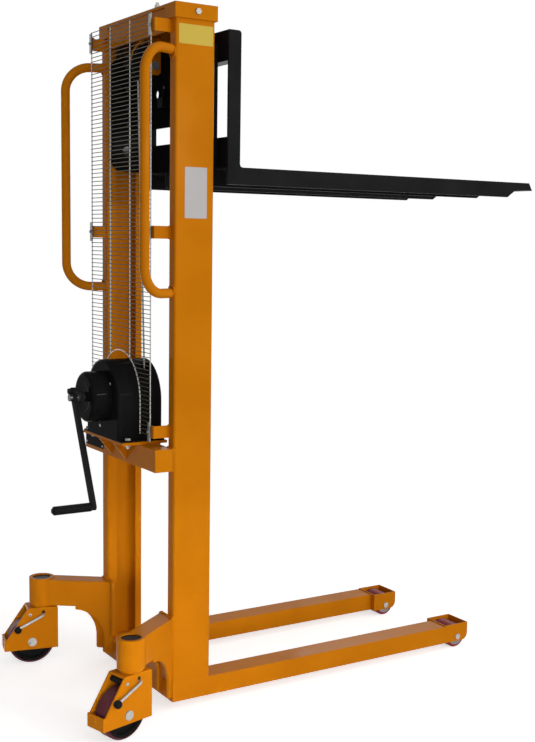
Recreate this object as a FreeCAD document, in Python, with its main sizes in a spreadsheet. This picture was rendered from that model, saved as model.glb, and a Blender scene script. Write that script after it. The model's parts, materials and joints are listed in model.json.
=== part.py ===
import FreeCAD, Part
import math
import os
import Sketcher
from FreeCAD import Placement, Rotation, Vector

# Hand pallet stacker: a hand-wound mast truck. Two forks ride up a channel mast on a wire rope,
# wound by a geared crank winch; two straddle legs with load rollers and two braked casters carry it.
#
# Frame: +X forward along the forks, +Y to the operator's left, +Z up, floor at Z = 0. The pieces are
# measured from the mast's rear face; the whole is then moved along X so that the origin lies under the
# middle of the truck. The rest position is with the forks fully raised.

SIZES = {
    # general fits
    "running_gap": 0.05,
    "face_gap": 0.3,
    "cut_overrun": 4,
    # mast uprights: lipped channels that face each other
    "mast_width": 511,
    "upright_depth": 124,
    "upright_width": 40,
    "upright_wall": 5,
    "rear_lip": 33,
    "front_lip": 24,
    "upright_corner": 7,
    # mast cap and head beam
    "cap_plate": 8,
    "cap_lip": 6,
    "cap_skirt": 34,
    "cap_skirt_reach": 64,
    "cap_corner": 3,
    "cap_bolt_forward": 65,
    "cap_bolt_drop": 21,
    "cap_stud_forward": 10,
    "cap_stud_side": 118,
    "cap_stud_rise": 18,
    "cap_stud_radius": 5,
    "cap_nut": 9,
    "washer_radius": 11,
    "washer": 2,
    "head_beam_drop": 66,
    "head_gap": 20,
    "head_beam_wall": 6,
    # straddle legs and base
    "leg_width": 80,
    "leg_bottom": 24,
    "leg_height": 58,
    "leg_wall": 5,
    "leg_length": 1050,
    "base_beam_depth": 62,
    # load roller housings at the leg tips
    "housing_width": 101,
    "housing_length": 98,
    "housing_wall": 4,
    "housing_rise": 3,
    "housing_round": 24,
    "load_roller_radius": 40,
    "load_roller_edge": 4,
    "load_roller_width": 86,
    "load_roller_setback": 45,
    "load_axle_radius": 8,
    "load_axle_head_radius": 10,
    "load_axle_head": 4,
    # outrigger arms and swivel tubes
    "swivel_back": 177,
    "swivel_side": 345,
    "swivel_radius": 40.5,
    "swivel_bottom": 195,
    "swivel_height": 88,
    "kingpin_radius": 15,
    "kingpin_length": 70,
    "swivel_cap_radius": 30,
    "swivel_cap_depth": 18,
    "swivel_cap_recess": 4,
    "arm_width": 60,
    "arm_height": 85,
    "arm_wall": 6,
    "arm_root_side": 214,
    "gusset_plate": 8,
    "gusset_spread": 60,
    "gusset_reach": 123,
    "gusset_lip": 11,
    "gusset_radius": 96,
    "gusset_foot": 40,
    "gusset_foot_round": 7,
    # casters
    "caster_width": 71,
    "caster_plate": 5,
    "caster_top": 187.5,
    "caster_bottom": 49.5,
    "caster_front": 47,
    "caster_top_rear": 50,
    "caster_rear": 126,
    "caster_band": 88,
    "caster_band_setback": 8,
    "caster_edge_round": 4,
    "thrust_ring_radius": 34,
    "caster_wheel_radius": 75,
    "caster_wheel_width": 46,
    "caster_trail": 37,
    "caster_core_radius": 68,
    "caster_hub_radius": 22,
    "caster_web": 14,
    "caster_tyre_round": 6,
    "caster_axle_radius": 8,
    "caster_axle_head_radius": 14,
    "caster_axle_head": 4,
    "brake_pin_back": 43,
    "brake_pin_drop": 21,
    "brake_pin_radius": 4,
    "brake_pin_head_radius": 5,
    "brake_pin_head": 2.5,
    "brake_bar_radius": 8,
    "brake_axis_drop": 21.5,
    "brake_rod_radius": 4,
    "brake_rod_reach": 13,
    "brake_lever_length": 78,
    "brake_lever_slope": 32,
    "brake_cam_radius": 10,
    "brake_cam_width": 30,
    "brake_knob_radius": 9.5,
    "brake_knob_length": 26,
    "brake_knob_round": 6,
    "right_caster_angle": 14.5,
    "left_caster_angle": -12.5,
    # winch shelf on the mast's rear
    "winch_beam_depth": 58,
    "winch_beam_height": 66,
    "winch_beam_drop": 197,
    "winch_beam_end": 3.5,
    "shelf_thickness": 8,
    "shelf_half_width": 144,
    "shelf_rear": 112,
    "shelf_front": 34,
    "shelf_gusset": 6,
    "shelf_gusset_side": 50,
    "shelf_gusset_foot": 8,
    "shelf_bolt_radius": 5,
    "shelf_bolt_side": 127,
    "shelf_bolt_rear": 86,
    "shelf_bolt_front": 12,
    "bolt_head_radius": 9,
    "bolt_head": 6,
    "bolt_tail": 12,
    # winch cover, gear cover and inner frame
    "cover_radius": 117,
    "cover_height": 234,
    "cover_wall": 4,
    "cover_front": 28,
    "cover_edge_round": 8,
    "cover_flange": 20,
    "cover_flange_plate": 5,
    "rope_slot": 26,
    "winch_axis_side": 4,
    "winch_axis_height": 919,
    "gear_cover_radius": 76,
    "gear_cover_depth": 58,
    "gear_cover_round": 12,
    "gear_cover_recess": 14,
    "gear_cover_recess_radius": 42,
    "drum_radius": 56,
    "drum_flange_radius": 76,
    "drum_flange": 6,
    "drum_length": 40,
    "drum_front": 14,
    "drum_shaft_radius": 14,
    "winding_radius": 62,
    "winch_plate": 7,
    "winch_plate_half_width": 46,
    "winch_plate_head": 40,
    # crank
    "crank_plane": 200,
    "crank_shaft_radius": 11,
    "crank_shaft_tail": 10,
    "crank_top": 20,
    "crank_bar_width": 22,
    "crank_bar_thickness": 12,
    "crank_reach": 334,
    "crank_angle": 25,
    "crank_hub_radius": 15,
    "crank_collar_radius": 15,
    "crank_collar": 36,
    "crank_nut_radius": 10.5,
    "crank_nut": 8,
    "crank_clamp_radius": 8.5,
    "crank_clamp_head": 9,
    "grip_radius": 13,
    "grip_length": 118,
    "grip_round": 3,
    "grip_pin_radius": 7,
    "grip_pin_head": 3,
    # handles
    "handle_radius": 14,
    "handle_side": 235.5,
    "handle_reach": 119,
    "handle_splay": 24,
    "handle_drop": 127,
    "handle_length": 679,
    "handle_bend": 75,
    # wire guard
    "guard_back": 53,
    "guard_half_width": 207,
    "guard_inner_wire": 69,
    "guard_drop": 29,
    "guard_foot_drop": 96,
    "guard_wire": 5,
    "guard_cross_wire": 2.5,
    "guard_pitch": 12.5,
    "guard_arch_radius": 140,
    "guard_arch_rise": 138,
    "guard_tab_height": 36,
    "guard_tab_plate": 5,
    "guard_tab_drop": 33,
    "guard_tab_spacing": 572,
    "guard_tab_low_drop": 83,
    "guard_clamp_height": 58,
    "guard_clamp_width": 13,
    "guard_clamp_plate": 4,
    "guard_bolt_radius": 4,
    "guard_bolt_head": 4,
    # top pulley and rope
    "pulley_forward": 48,
    "pulley_drop": 144,
    "pulley_rope_radius": 43,
    "pulley_rim_radius": 66,
    "pulley_width": 28,
    "pulley_groove_half": 9,
    "pulley_axle_radius": 10,
    "pulley_axle_head_radius": 13,
    "pulley_axle_head": 5,
    "pulley_plate": 6,
    "pulley_plate_half_width": 20,
    "pulley_plate_drop": 27,
    "pulley_plate_chamfer": 8,
    "pulley_side_gap": 5,
    "rope_radius": 3,
    # carriage
    "fork_height": 1600,
    "carriage_plate": 8,
    "carriage_gap": 4.5,
    "carriage_rear": 13,
    "carriage_foot": 6,
    "carriage_head": 17,
    "carriage_corner": 22,
    "roller_width": 24,
    "roller_rise": 63,
    "roller_spacing": 270,
    "roller_axle_radius": 12,
    "roller_axle_head_radius": 15,
    "roller_axle_head": 6,
    "roller_edge": 3,
    "roller_side_gap": 1.5,
    "carriage_bolt_radius": 5,
    "carriage_bolt_head": 5,
    "carriage_bolt_head_radius": 8,
    "carriage_bolt_forward": 66,
    "carriage_bolt_drop": 95,
    "carriage_bolt_upper_pitch": 61,
    "carriage_bolt_lower_pitch": 52,
    "rope_panel": 6,
    "rope_panel_gap": 4,
    "rope_panel_height": 219,
    "rope_panel_hole": 13,
    "rope_panel_hole_side": 124,
    "rope_panel_hole_drop": 114,
    "anchor_width": 34,
    "anchor_height": 30,
    "anchor_drop": 138,
    "anchor_end": 14,
    "socket_radius": 9,
    "socket_height": 26,
    # forks and their frame
    "fork_length": 1156,
    "fork_span": 552,
    "fork_width": 160,
    "fork_sheet": 6,
    "fork_depth": 50,
    "fork_tip_depth": 25,
    "fork_tip_slope": 14,
    "fork_step_back": 116,
    "fork_step_run": 36,
    "fork_tip_corner": 8,
    "fork_nose": 26,
    "shank_rear": 158,
    "shank_depth": 40,
    "shank_plate": 8,
    "shank_head": 33.5,
    "shank_round": 9,
    "heel_length": 53,
    "heel_round": 10,
    "upper_beam_height": 85.5,
    "lower_beam_height": 85,
    "beam_seat": 1,
    "beam_wall": 6,
}

doc = FreeCAD.newDocument("hand_pallet_stacker")
sheet = doc.addObject("Spreadsheet::Sheet", "Sizes")
for row, (alias, number) in enumerate(SIZES.items(), start=1):
    sheet.set(f"A{row}", alias)
    sheet.set(f"B{row}", str(number))
    sheet.setAlias(f"B{row}", alias)
doc.recompute()


class Size:
    """A length that keeps both its number and the sheet formula that gives it."""

    def __init__(self, number, formula):
        self.number = number
        self.formula = formula

    def joined(self, sign, other, number):
        return Size(number, f"({self.formula} {sign} {sized(other).formula})")

    def __add__(self, other):
        return self.joined("+", other, self.number + sized(other).number)

    def __sub__(self, other):
        return self.joined("-", other, self.number - sized(other).number)

    def __mul__(self, other):
        return self.joined("*", other, self.number * sized(other).number)

    def __truediv__(self, other):
        return self.joined("/", other, self.number / sized(other).number)

    def __radd__(self, other):
        return sized(other) + self

    def __rsub__(self, other):
        return sized(other) - self

    def __rmul__(self, other):
        return sized(other) * self

    def __neg__(self):
        return Size(-self.number, f"(-{self.formula})")


def sized(value):
    return value if isinstance(value, Size) else Size(float(value), repr(value))


def cosine(angle):
    return Size(math.cos(math.radians(angle.number)), f"cos({angle.formula})")


def sine(angle):
    return Size(math.sin(math.radians(angle.number)), f"sin({angle.formula})")


def diagonal(*sides):
    total = math.sqrt(sum(side.number ** 2 for side in sides))
    return Size(total, "sqrt(" + " + ".join(f"{side.formula} ^ 2" for side in sides) + ")")


def slope_angle(rise, run):
    ratio = rise / run
    return Size(math.degrees(math.atan(ratio.number)), f"atan({ratio.formula})")


class Dimensions:
    """Reads the sheet: d.leg_width is the cell of that name."""

    def __getattr__(self, alias):
        return Size(float(sheet.get(alias)), f"Sizes.{alias}")


d = Dimensions()

# Places that several pieces share, measured from the mast's rear face, the middle plane and the floor.
# Heights build up from the lift: the forks at full lift, then the carriage, the head beam and the cap.
roller_lower = d.fork_height + d.roller_rise
roller_upper = roller_lower + d.roller_spacing
carriage_top = roller_upper + d.carriage_head
shank_top = carriage_top + d.shank_head
lower_beam_top = d.fork_height + d.lower_beam_height
anchor_top = carriage_top - d.anchor_drop
upright_top = carriage_top + d.head_gap + d.head_beam_drop
mast_height = upright_top + d.cap_plate
pulley_height = mast_height - d.pulley_drop
handle_top = mast_height - d.handle_drop
handle_bottom = handle_top - d.handle_length
guard_top = mast_height - d.guard_drop
guard_tab_top = guard_top - d.guard_tab_drop
guard_tab_middle = guard_tab_top - d.guard_tab_spacing
mast_side = d.mast_width / 2
upright_inner = mast_side - d.upright_width
leg_top = d.leg_bottom + d.leg_height
leg_inner = mast_side - d.leg_width
housing_inner = mast_side - d.housing_width
housing_middle = mast_side - d.housing_width / 2
housing_top = leg_top + d.housing_rise
housing_front = d.leg_length + d.housing_length
load_axle_x = housing_front - d.load_roller_setback
fork_side = d.fork_span / 2
fork_inner = fork_side - d.fork_width
fork_under = d.fork_height - d.fork_sheet
shank_front = d.shank_rear + d.shank_depth
fork_tip = shank_front + d.fork_length
beam_side = fork_side - d.shank_plate
winch_y = d.winch_axis_side
winch_z = d.winch_axis_height
winch_beam_bottom = winch_z - d.winch_beam_drop
shelf_bottom = winch_beam_bottom + d.winch_beam_height
shelf_top = shelf_bottom + d.shelf_thickness
guard_bottom = winch_z - d.guard_foot_drop
guard_arch_top = winch_z + d.guard_arch_rise
guard_tab_low = winch_z - d.guard_tab_low_drop
cover_top = shelf_top + d.cover_height
crank_grip_start = d.crank_plane + d.crank_bar_thickness / 2
grip_end = crank_grip_start + d.grip_length + d.grip_pin_head
carriage_outer = upright_inner - d.carriage_gap
carriage_inner = carriage_outer - d.carriage_plate
roller_x = d.upright_depth / 2
roller_radius = d.upright_depth / 2 - d.upright_wall - d.face_gap
roller_outer = mast_side - d.upright_wall - d.roller_side_gap
rope_front_x = d.pulley_forward + d.pulley_rope_radius
rope_rear_x = d.pulley_forward - d.pulley_rope_radius
pulley_plate_inner = d.pulley_width / 2 + d.pulley_side_gap
rope_panel_x = d.upright_depth + d.rope_panel_gap
arm_angle = slope_angle(d.swivel_side - d.arm_root_side, d.swivel_back)

# Moves the mast's rear face along X so that the origin lies under the middle of the truck's length.
mast_x = (grip_end - fork_tip) / 2

AXIS_TURN = {
    "X": Rotation(Vector(0, 1, 0), 90),
    "Y": Rotation(Vector(1, 0, 0), -90),
    "Z": Rotation(),
}
nodes = {}
# How close two points must be to count as the same.
same_spot = 0.01


def bind(thing, prop, value):
    thing.setExpression(prop, sized(value).formula)


def place(thing, x, y, z, turn=Rotation(), shift=mast_x):
    thing.Placement = Placement(Vector(), turn)
    bind(thing, "Placement.Base.x", shift + x)
    bind(thing, "Placement.Base.y", sized(y))
    bind(thing, "Placement.Base.z", sized(z))
    return thing


def block(x, y, z, shift=mast_x):
    """A box between two places along each axis."""
    box = doc.addObject("Part::Box", "Block")
    for prop, (low, high) in zip(("Length", "Width", "Height"), (x, y, z)):
        bind(box, prop, sized(high) - low)
    return place(box, x[0], y[0], z[0], shift=shift)


def rod(axis, start, length, radius, shift=mast_x):
    """A round bar that runs along an axis from its start point."""
    bar = doc.addObject("Part::Cylinder", "Rod")
    bind(bar, "Radius", radius)
    bind(bar, "Height", length)
    return place(bar, *start, turn=AXIS_TURN[axis], shift=shift)


def cut(base, *tools):
    result = base
    for tool in tools:
        pair = doc.addObject("Part::Cut", "Cut")
        pair.Base = result
        pair.Tool = tool
        result = pair
    return result


def fuse(*pieces):
    joined = doc.addObject("Part::MultiFuse", "Fuse")
    joined.Shapes = list(pieces)
    joined.Refine = True
    return joined


def mirrored(piece):
    """The same piece on the other side of the truck's middle plane."""
    twin = doc.addObject("Part::Mirroring", "Twin")
    twin.Source = piece
    twin.Normal = Vector(0, 1, 0)
    return twin


def moved(piece, x, y, z, turn, shift=mast_x):
    """A piece drawn about its own origin, set down at a place on the truck."""
    holder = doc.addObject("Part::Compound", "Moved")
    holder.Links = [piece]
    return place(holder, x, y, z, turn, shift)


def rounded(piece, radius, keep):
    """Rounds the edges that keep(edge) picks."""
    doc.recompute()
    fillet = doc.addObject("Part::Fillet", "Rounded")
    fillet.Base = piece
    picked = [i for i, edge in enumerate(piece.Shape.Edges, start=1) if keep(edge)]
    fillet.Edges = [(i, sized(radius).number, sized(radius).number) for i in picked]
    return fillet


def node(label, piece):
    piece.Label = label
    nodes[label] = piece
    return piece


def node_group(label, *pieces):
    group = doc.addObject("Part::Compound", "Group")
    group.Links = list(pieces)
    return node(label, group)


def node_pair(kind, right_piece):
    """A piece on the operator's right, and its mirror image on the left."""
    node(f"right_{kind}", right_piece)
    node(f"left_{kind}", mirrored(right_piece))


def plane_of(body, role):
    return next(item for item in body.Origin.OriginFeatures if item.Role == role)


def new_sketch(body, role):
    sketch = body.newObject("Sketcher::SketchObject", "Outline")
    sketch.AttachmentSupport = [(plane_of(body, role), "")]
    sketch.MapMode = "FlatFace"
    return sketch


def pin_point(sketch, line, end, u, v):
    """Ties a sketch point to the sheet by its two coordinates."""
    for kind, axis, value in (("DistanceX", -2, sized(u)), ("DistanceY", -1, sized(v))):
        if value.number == 0:
            sketch.addConstraint(Sketcher.Constraint("PointOnObject", line, end, axis))
            continue
        index = sketch.addConstraint(Sketcher.Constraint(kind, -1, 1, line, end, value.number))
        sketch.setExpression(f"Constraints[{index}]", value.formula)


def draw_polygon(sketch, points):
    spots = [Vector(sized(u).number, sized(v).number, 0) for u, v in points]
    count = len(spots)
    first = sketch.GeometryCount
    for i in range(count):
        sketch.addGeometry(Part.LineSegment(spots[i], spots[(i + 1) % count]), False)
    for i in range(count):
        following = first + (i + 1) % count
        sketch.addConstraint(Sketcher.Constraint("Coincident", first + i, 2, following, 1))
    for i, (u, v) in enumerate(points):
        pin_point(sketch, first + i, 1, u, v)


def draw_circle(sketch, u, v, radius):
    centre = Vector(sized(u).number, sized(v).number, 0)
    ring = sketch.addGeometry(Part.Circle(centre, Vector(0, 0, 1), sized(radius).number), False)
    pin_point(sketch, ring, 3, u, v)
    index = sketch.addConstraint(Sketcher.Constraint("Radius", ring, sized(radius).number))
    sketch.setExpression(f"Constraints[{index}]", sized(radius).formula)


def plate_body(role, points, thickness, holes=()):
    """A flat plate: an outline padded from one of the body's own planes, with round holes."""
    body = doc.addObject("PartDesign::Body", "Plate")
    sketch = new_sketch(body, role)
    draw_polygon(sketch, points)
    for u, v, radius in holes:
        draw_circle(sketch, u, v, radius)
    pad = body.newObject("PartDesign::Pad", "Pad")
    pad.Profile = sketch
    bind(pad, "Length", thickness)
    doc.recompute()
    return body


def round_corners(body, radius, corners, axis):
    """Fillets the straight edges along an axis that stand at the given outline corners."""
    base = body.Tip
    across = [i for i in range(3) if i != axis]
    wanted = [(sized(u).number, sized(v).number) for u, v in corners]

    def stands_on_corner(edge):
        ends = [[vertex.Point[i] for i in across] for vertex in edge.Vertexes]
        return any(all(math.dist(end, corner) < same_spot for end in ends) for corner in wanted)

    edges = enumerate(base.Shape.Edges, start=1)
    picked = [f"Edge{i}" for i, edge in edges if stands_on_corner(edge)]
    fillet = body.newObject("PartDesign::Fillet", "Corners")
    fillet.Base = (base, picked)
    bind(fillet, "Radius", radius)
    doc.recompute()
    return body


def revolved(points):
    """A body turned about its own Z axis from an outline of radius and height."""
    body = doc.addObject("PartDesign::Body", "Turned")
    sketch = new_sketch(body, "XZ_Plane")
    draw_polygon(sketch, points)
    turning = body.newObject("PartDesign::Revolution", "Turning")
    turning.Profile = sketch
    turning.ReferenceAxis = (sketch, ["V_Axis"])
    turning.Angle = 360
    doc.recompute()
    return body


def hexagon(axis, start, height, radius):
    """A hexagon prism that grows along an axis from its start point."""
    prism = doc.addObject("Part::Prism", "Hexagon")
    prism.Polygon = 6
    bind(prism, "Circumradius", radius)
    bind(prism, "Height", height)
    return place(prism, *start, AXIS_TURN[axis])


def hex_bolt(start, axis, head, head_radius, shank, shank_radius):
    """A hexagon head on a round shank: the head grows along the axis, the shank goes back."""
    along = "XYZ".index(axis)
    shank_start = list(start)
    shank_start[along] = sized(start[along]) - shank
    return fuse(hexagon(axis, start, head, head_radius),
                rod(axis, shank_start, shank + head / 2, shank_radius))


def build_uprights():
    outer = mast_side
    inner = upright_inner
    depth = d.upright_depth
    wall = d.upright_wall
    outline = [
        (0, -outer), (depth, -outer), (depth, -inner), (depth - d.front_lip, -inner),
        (depth - d.front_lip, -inner - wall), (depth - wall, -inner - wall),
        (depth - wall, -outer + wall), (wall, -outer + wall), (wall, -inner - wall),
        (d.rear_lip, -inner - wall), (d.rear_lip, -inner), (0, -inner),
    ]
    channel = plate_body("XY_Plane", outline, upright_top - leg_top)
    corners = [(0, -outer), (depth, -outer), (depth, -inner), (0, -inner)]
    round_corners(channel, d.upright_corner, corners, axis=2)
    place(channel, 0, 0, leg_top)
    node_pair("upright", channel)


def build_top_cap():
    lip = d.cap_lip
    reach_x = (-lip, d.upright_depth + lip)
    side = mast_side + lip
    skirt_bottom = upright_top - d.cap_skirt
    plate = block(reach_x, (-side, side), (upright_top, mast_height))
    skirt_inner = side - d.cap_skirt_reach
    skirt = block(reach_x, (-side, -skirt_inner), (skirt_bottom, upright_top))
    pocket = block((0, d.upright_depth), (-mast_side, 0), (skirt_bottom - d.cut_overrun, upright_top))
    hole = rod("Y", (d.cap_bolt_forward, -side - d.cut_overrun, mast_height - d.cap_bolt_drop),
               lip + d.cut_overrun * 2, d.shelf_bolt_radius + d.running_gap)
    right_skirt = cut(skirt, pocket, hole)
    cap = fuse(plate, right_skirt, mirrored(right_skirt))

    def upright_edge(edge):
        first, last = edge.Vertexes[0].Point, edge.Vertexes[-1].Point
        plumb = math.hypot(first.x - last.x, first.y - last.y) < same_spot
        upright = plumb and abs(first.z - last.z) > same_spot
        return upright and abs(abs(first.y) - side.number) < same_spot

    node("top_cap", rounded(cap, d.cap_corner, upright_edge))


def build_head_beam():
    wall = d.head_beam_wall
    bottom = upright_top - d.head_beam_drop
    side = upright_inner
    rear = block((0, wall), (-side, side), (bottom, upright_top))
    front = block((d.upright_depth - wall, d.upright_depth), (-side, side), (bottom, upright_top))
    web = block((wall, d.upright_depth - wall), (-side, side), (upright_top - wall, upright_top))
    node("head_beam", fuse(rear, front, web))


def build_base():
    overrun = d.cut_overrun
    wall = d.leg_wall
    leg = block((0, d.leg_length), (-mast_side, -leg_inner), (d.leg_bottom, leg_top))
    hollow = block((wall, d.leg_length + overrun), (-mast_side + wall, -leg_inner - wall),
                   (d.leg_bottom + wall, leg_top - wall))
    node_pair("leg", cut(leg, hollow))
    beam = block((0, d.base_beam_depth), (-leg_inner, leg_inner), (d.leg_bottom, leg_top))
    core = block((wall, d.base_beam_depth - wall), (-leg_inner - overrun, leg_inner + overrun),
                 (d.leg_bottom + wall, leg_top - wall))
    node("base_beam", cut(beam, core))


def build_load_rollers():
    wall = d.housing_wall
    rear = d.leg_length
    nose = (housing_front, d.leg_bottom)
    outline = [(rear, d.leg_bottom), nose, (housing_front, housing_top), (rear, housing_top)]
    axle_z = d.load_roller_radius
    hole = [(load_axle_x, axle_z, d.load_axle_radius + d.running_gap)]
    shell = plate_body("XZ_Plane", outline, d.housing_width, hole)
    round_corners(shell, d.housing_round, [nose], axis=1)
    place(shell, 0, -housing_inner, 0)
    room = block((rear + wall, housing_front - wall), (-mast_side + wall, -housing_inner - wall),
                 (0, housing_top + d.cut_overrun))
    right_housing = cut(shell, room)
    node_group("roller_housings", right_housing, mirrored(right_housing))

    head = d.load_axle_head
    pin = rod("Y", (load_axle_x, -mast_side, axle_z), d.housing_width, d.load_axle_radius)
    heads = [rod("Y", (load_axle_x, y, axle_z), head, d.load_axle_head_radius)
             for y in (-mast_side - head, -housing_inner)]
    right_axle = fuse(pin, *heads)
    node_group("load_roller_axles", right_axle, mirrored(right_axle))

    half = d.load_roller_width / 2
    radius = d.load_roller_radius
    bore = d.load_axle_radius + d.running_gap
    edge = d.load_roller_edge
    roller = revolved([(bore, -half), (radius - edge, -half), (radius, -half + edge),
                       (radius, half - edge), (radius - edge, half), (bore, half)])
    node_pair("load_roller", moved(roller, load_axle_x, -housing_middle, axle_z, AXIS_TURN["Y"]))


def build_outriggers():
    swivel_top = d.swivel_bottom + d.swivel_height
    centre = (-d.swivel_back, -d.swivel_side, d.swivel_bottom)
    tube = rod("Z", centre, d.swivel_height, d.swivel_radius)
    bore = rod("Z", (-d.swivel_back, -d.swivel_side, d.swivel_bottom - d.cut_overrun),
               d.swivel_height, d.kingpin_radius + d.running_gap)
    seat_z = swivel_top - d.swivel_cap_depth
    seat = rod("Z", (-d.swivel_back, -d.swivel_side, seat_z),
               d.swivel_cap_depth + d.cut_overrun, d.swivel_cap_radius)
    right_tube = cut(tube, bore, seat)
    node_group("swivel_tubes", right_tube, mirrored(right_tube))

    cap_height = d.swivel_cap_depth - d.swivel_cap_recess
    right_cap = rod("Z", (-d.swivel_back, -d.swivel_side, seat_z), cap_height,
                    d.swivel_cap_radius - d.running_gap)
    node_group("swivel_caps", right_cap, mirrored(right_cap))

    turn = Rotation(Vector(0, 0, 1), arm_angle.number)
    length = d.swivel_back / cosine(arm_angle) + d.arm_width
    arm_top = d.swivel_bottom + d.arm_height
    wall = d.arm_wall

    def along_arm(x, y, z):
        return moved(block(x, y, z, shift=sized(0)), -d.swivel_back, -d.swivel_side, 0, turn)

    half = d.arm_width / 2
    bar = along_arm((0, length), (-half, half), (d.swivel_bottom, arm_top))
    hollow = along_arm((d.swivel_radius + wall, length), (-half + wall, half - wall),
                       (d.swivel_bottom + wall, arm_top - wall))
    ahead = block((0, d.swivel_back), (-d.swivel_side - d.swivel_back, 0), (0, arm_top + d.cut_overrun))
    clearing = rod("Z", (-d.swivel_back, -d.swivel_side, 0), swivel_top, d.swivel_radius)
    right_arm = cut(bar, hollow, ahead, clearing)
    node_group("outrigger_arms", right_arm, mirrored(right_arm))

    plates = [build_gusset(side, ahead) for side in (-1, 1)]
    node_group("outrigger_gussets", *plates, *[mirrored(plate) for plate in plates])


def build_gusset(side, ahead):
    """One web plate under an arm: a quarter-round cut leaves a foot on the mast."""
    top = d.swivel_bottom
    tip_z = top - d.gusset_lip
    overhang = d.arm_width
    reach = d.gusset_reach
    foot_rear = reach - d.gusset_radius
    outline = [
        (overhang, top), (-reach, top), (-reach, tip_z), (-foot_rear, tip_z - d.gusset_radius),
        (-foot_rear, d.gusset_foot), (overhang, d.gusset_foot),
    ]
    plate = plate_body("XZ_Plane", outline, d.gusset_plate)
    round_corners(plate, d.gusset_foot_round, [(-foot_rear, d.gusset_foot)], axis=1)
    quarter = new_sketch(plate, "XZ_Plane")
    draw_circle(quarter, -reach, tip_z - d.gusset_radius, d.gusset_radius)
    pocket = plate.newObject("PartDesign::Pocket", "QuarterRound")
    pocket.Profile = quarter
    pocket.Type = "ThroughAll"
    pocket.Midplane = True
    doc.recompute()
    turn = Rotation(Vector(0, 0, 1), arm_angle.number)
    side_shift = (d.gusset_spread - d.gusset_plate) / 2 * side + d.gusset_plate / 2
    plate.Placement = Placement()
    set_down = doc.addObject("Part::Compound", "GussetPlate")
    set_down.Links = [plate]
    place(set_down, 0, -d.arm_root_side + side_shift / cosine(arm_angle), 0, turn)
    return cut(set_down, ahead)


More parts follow.
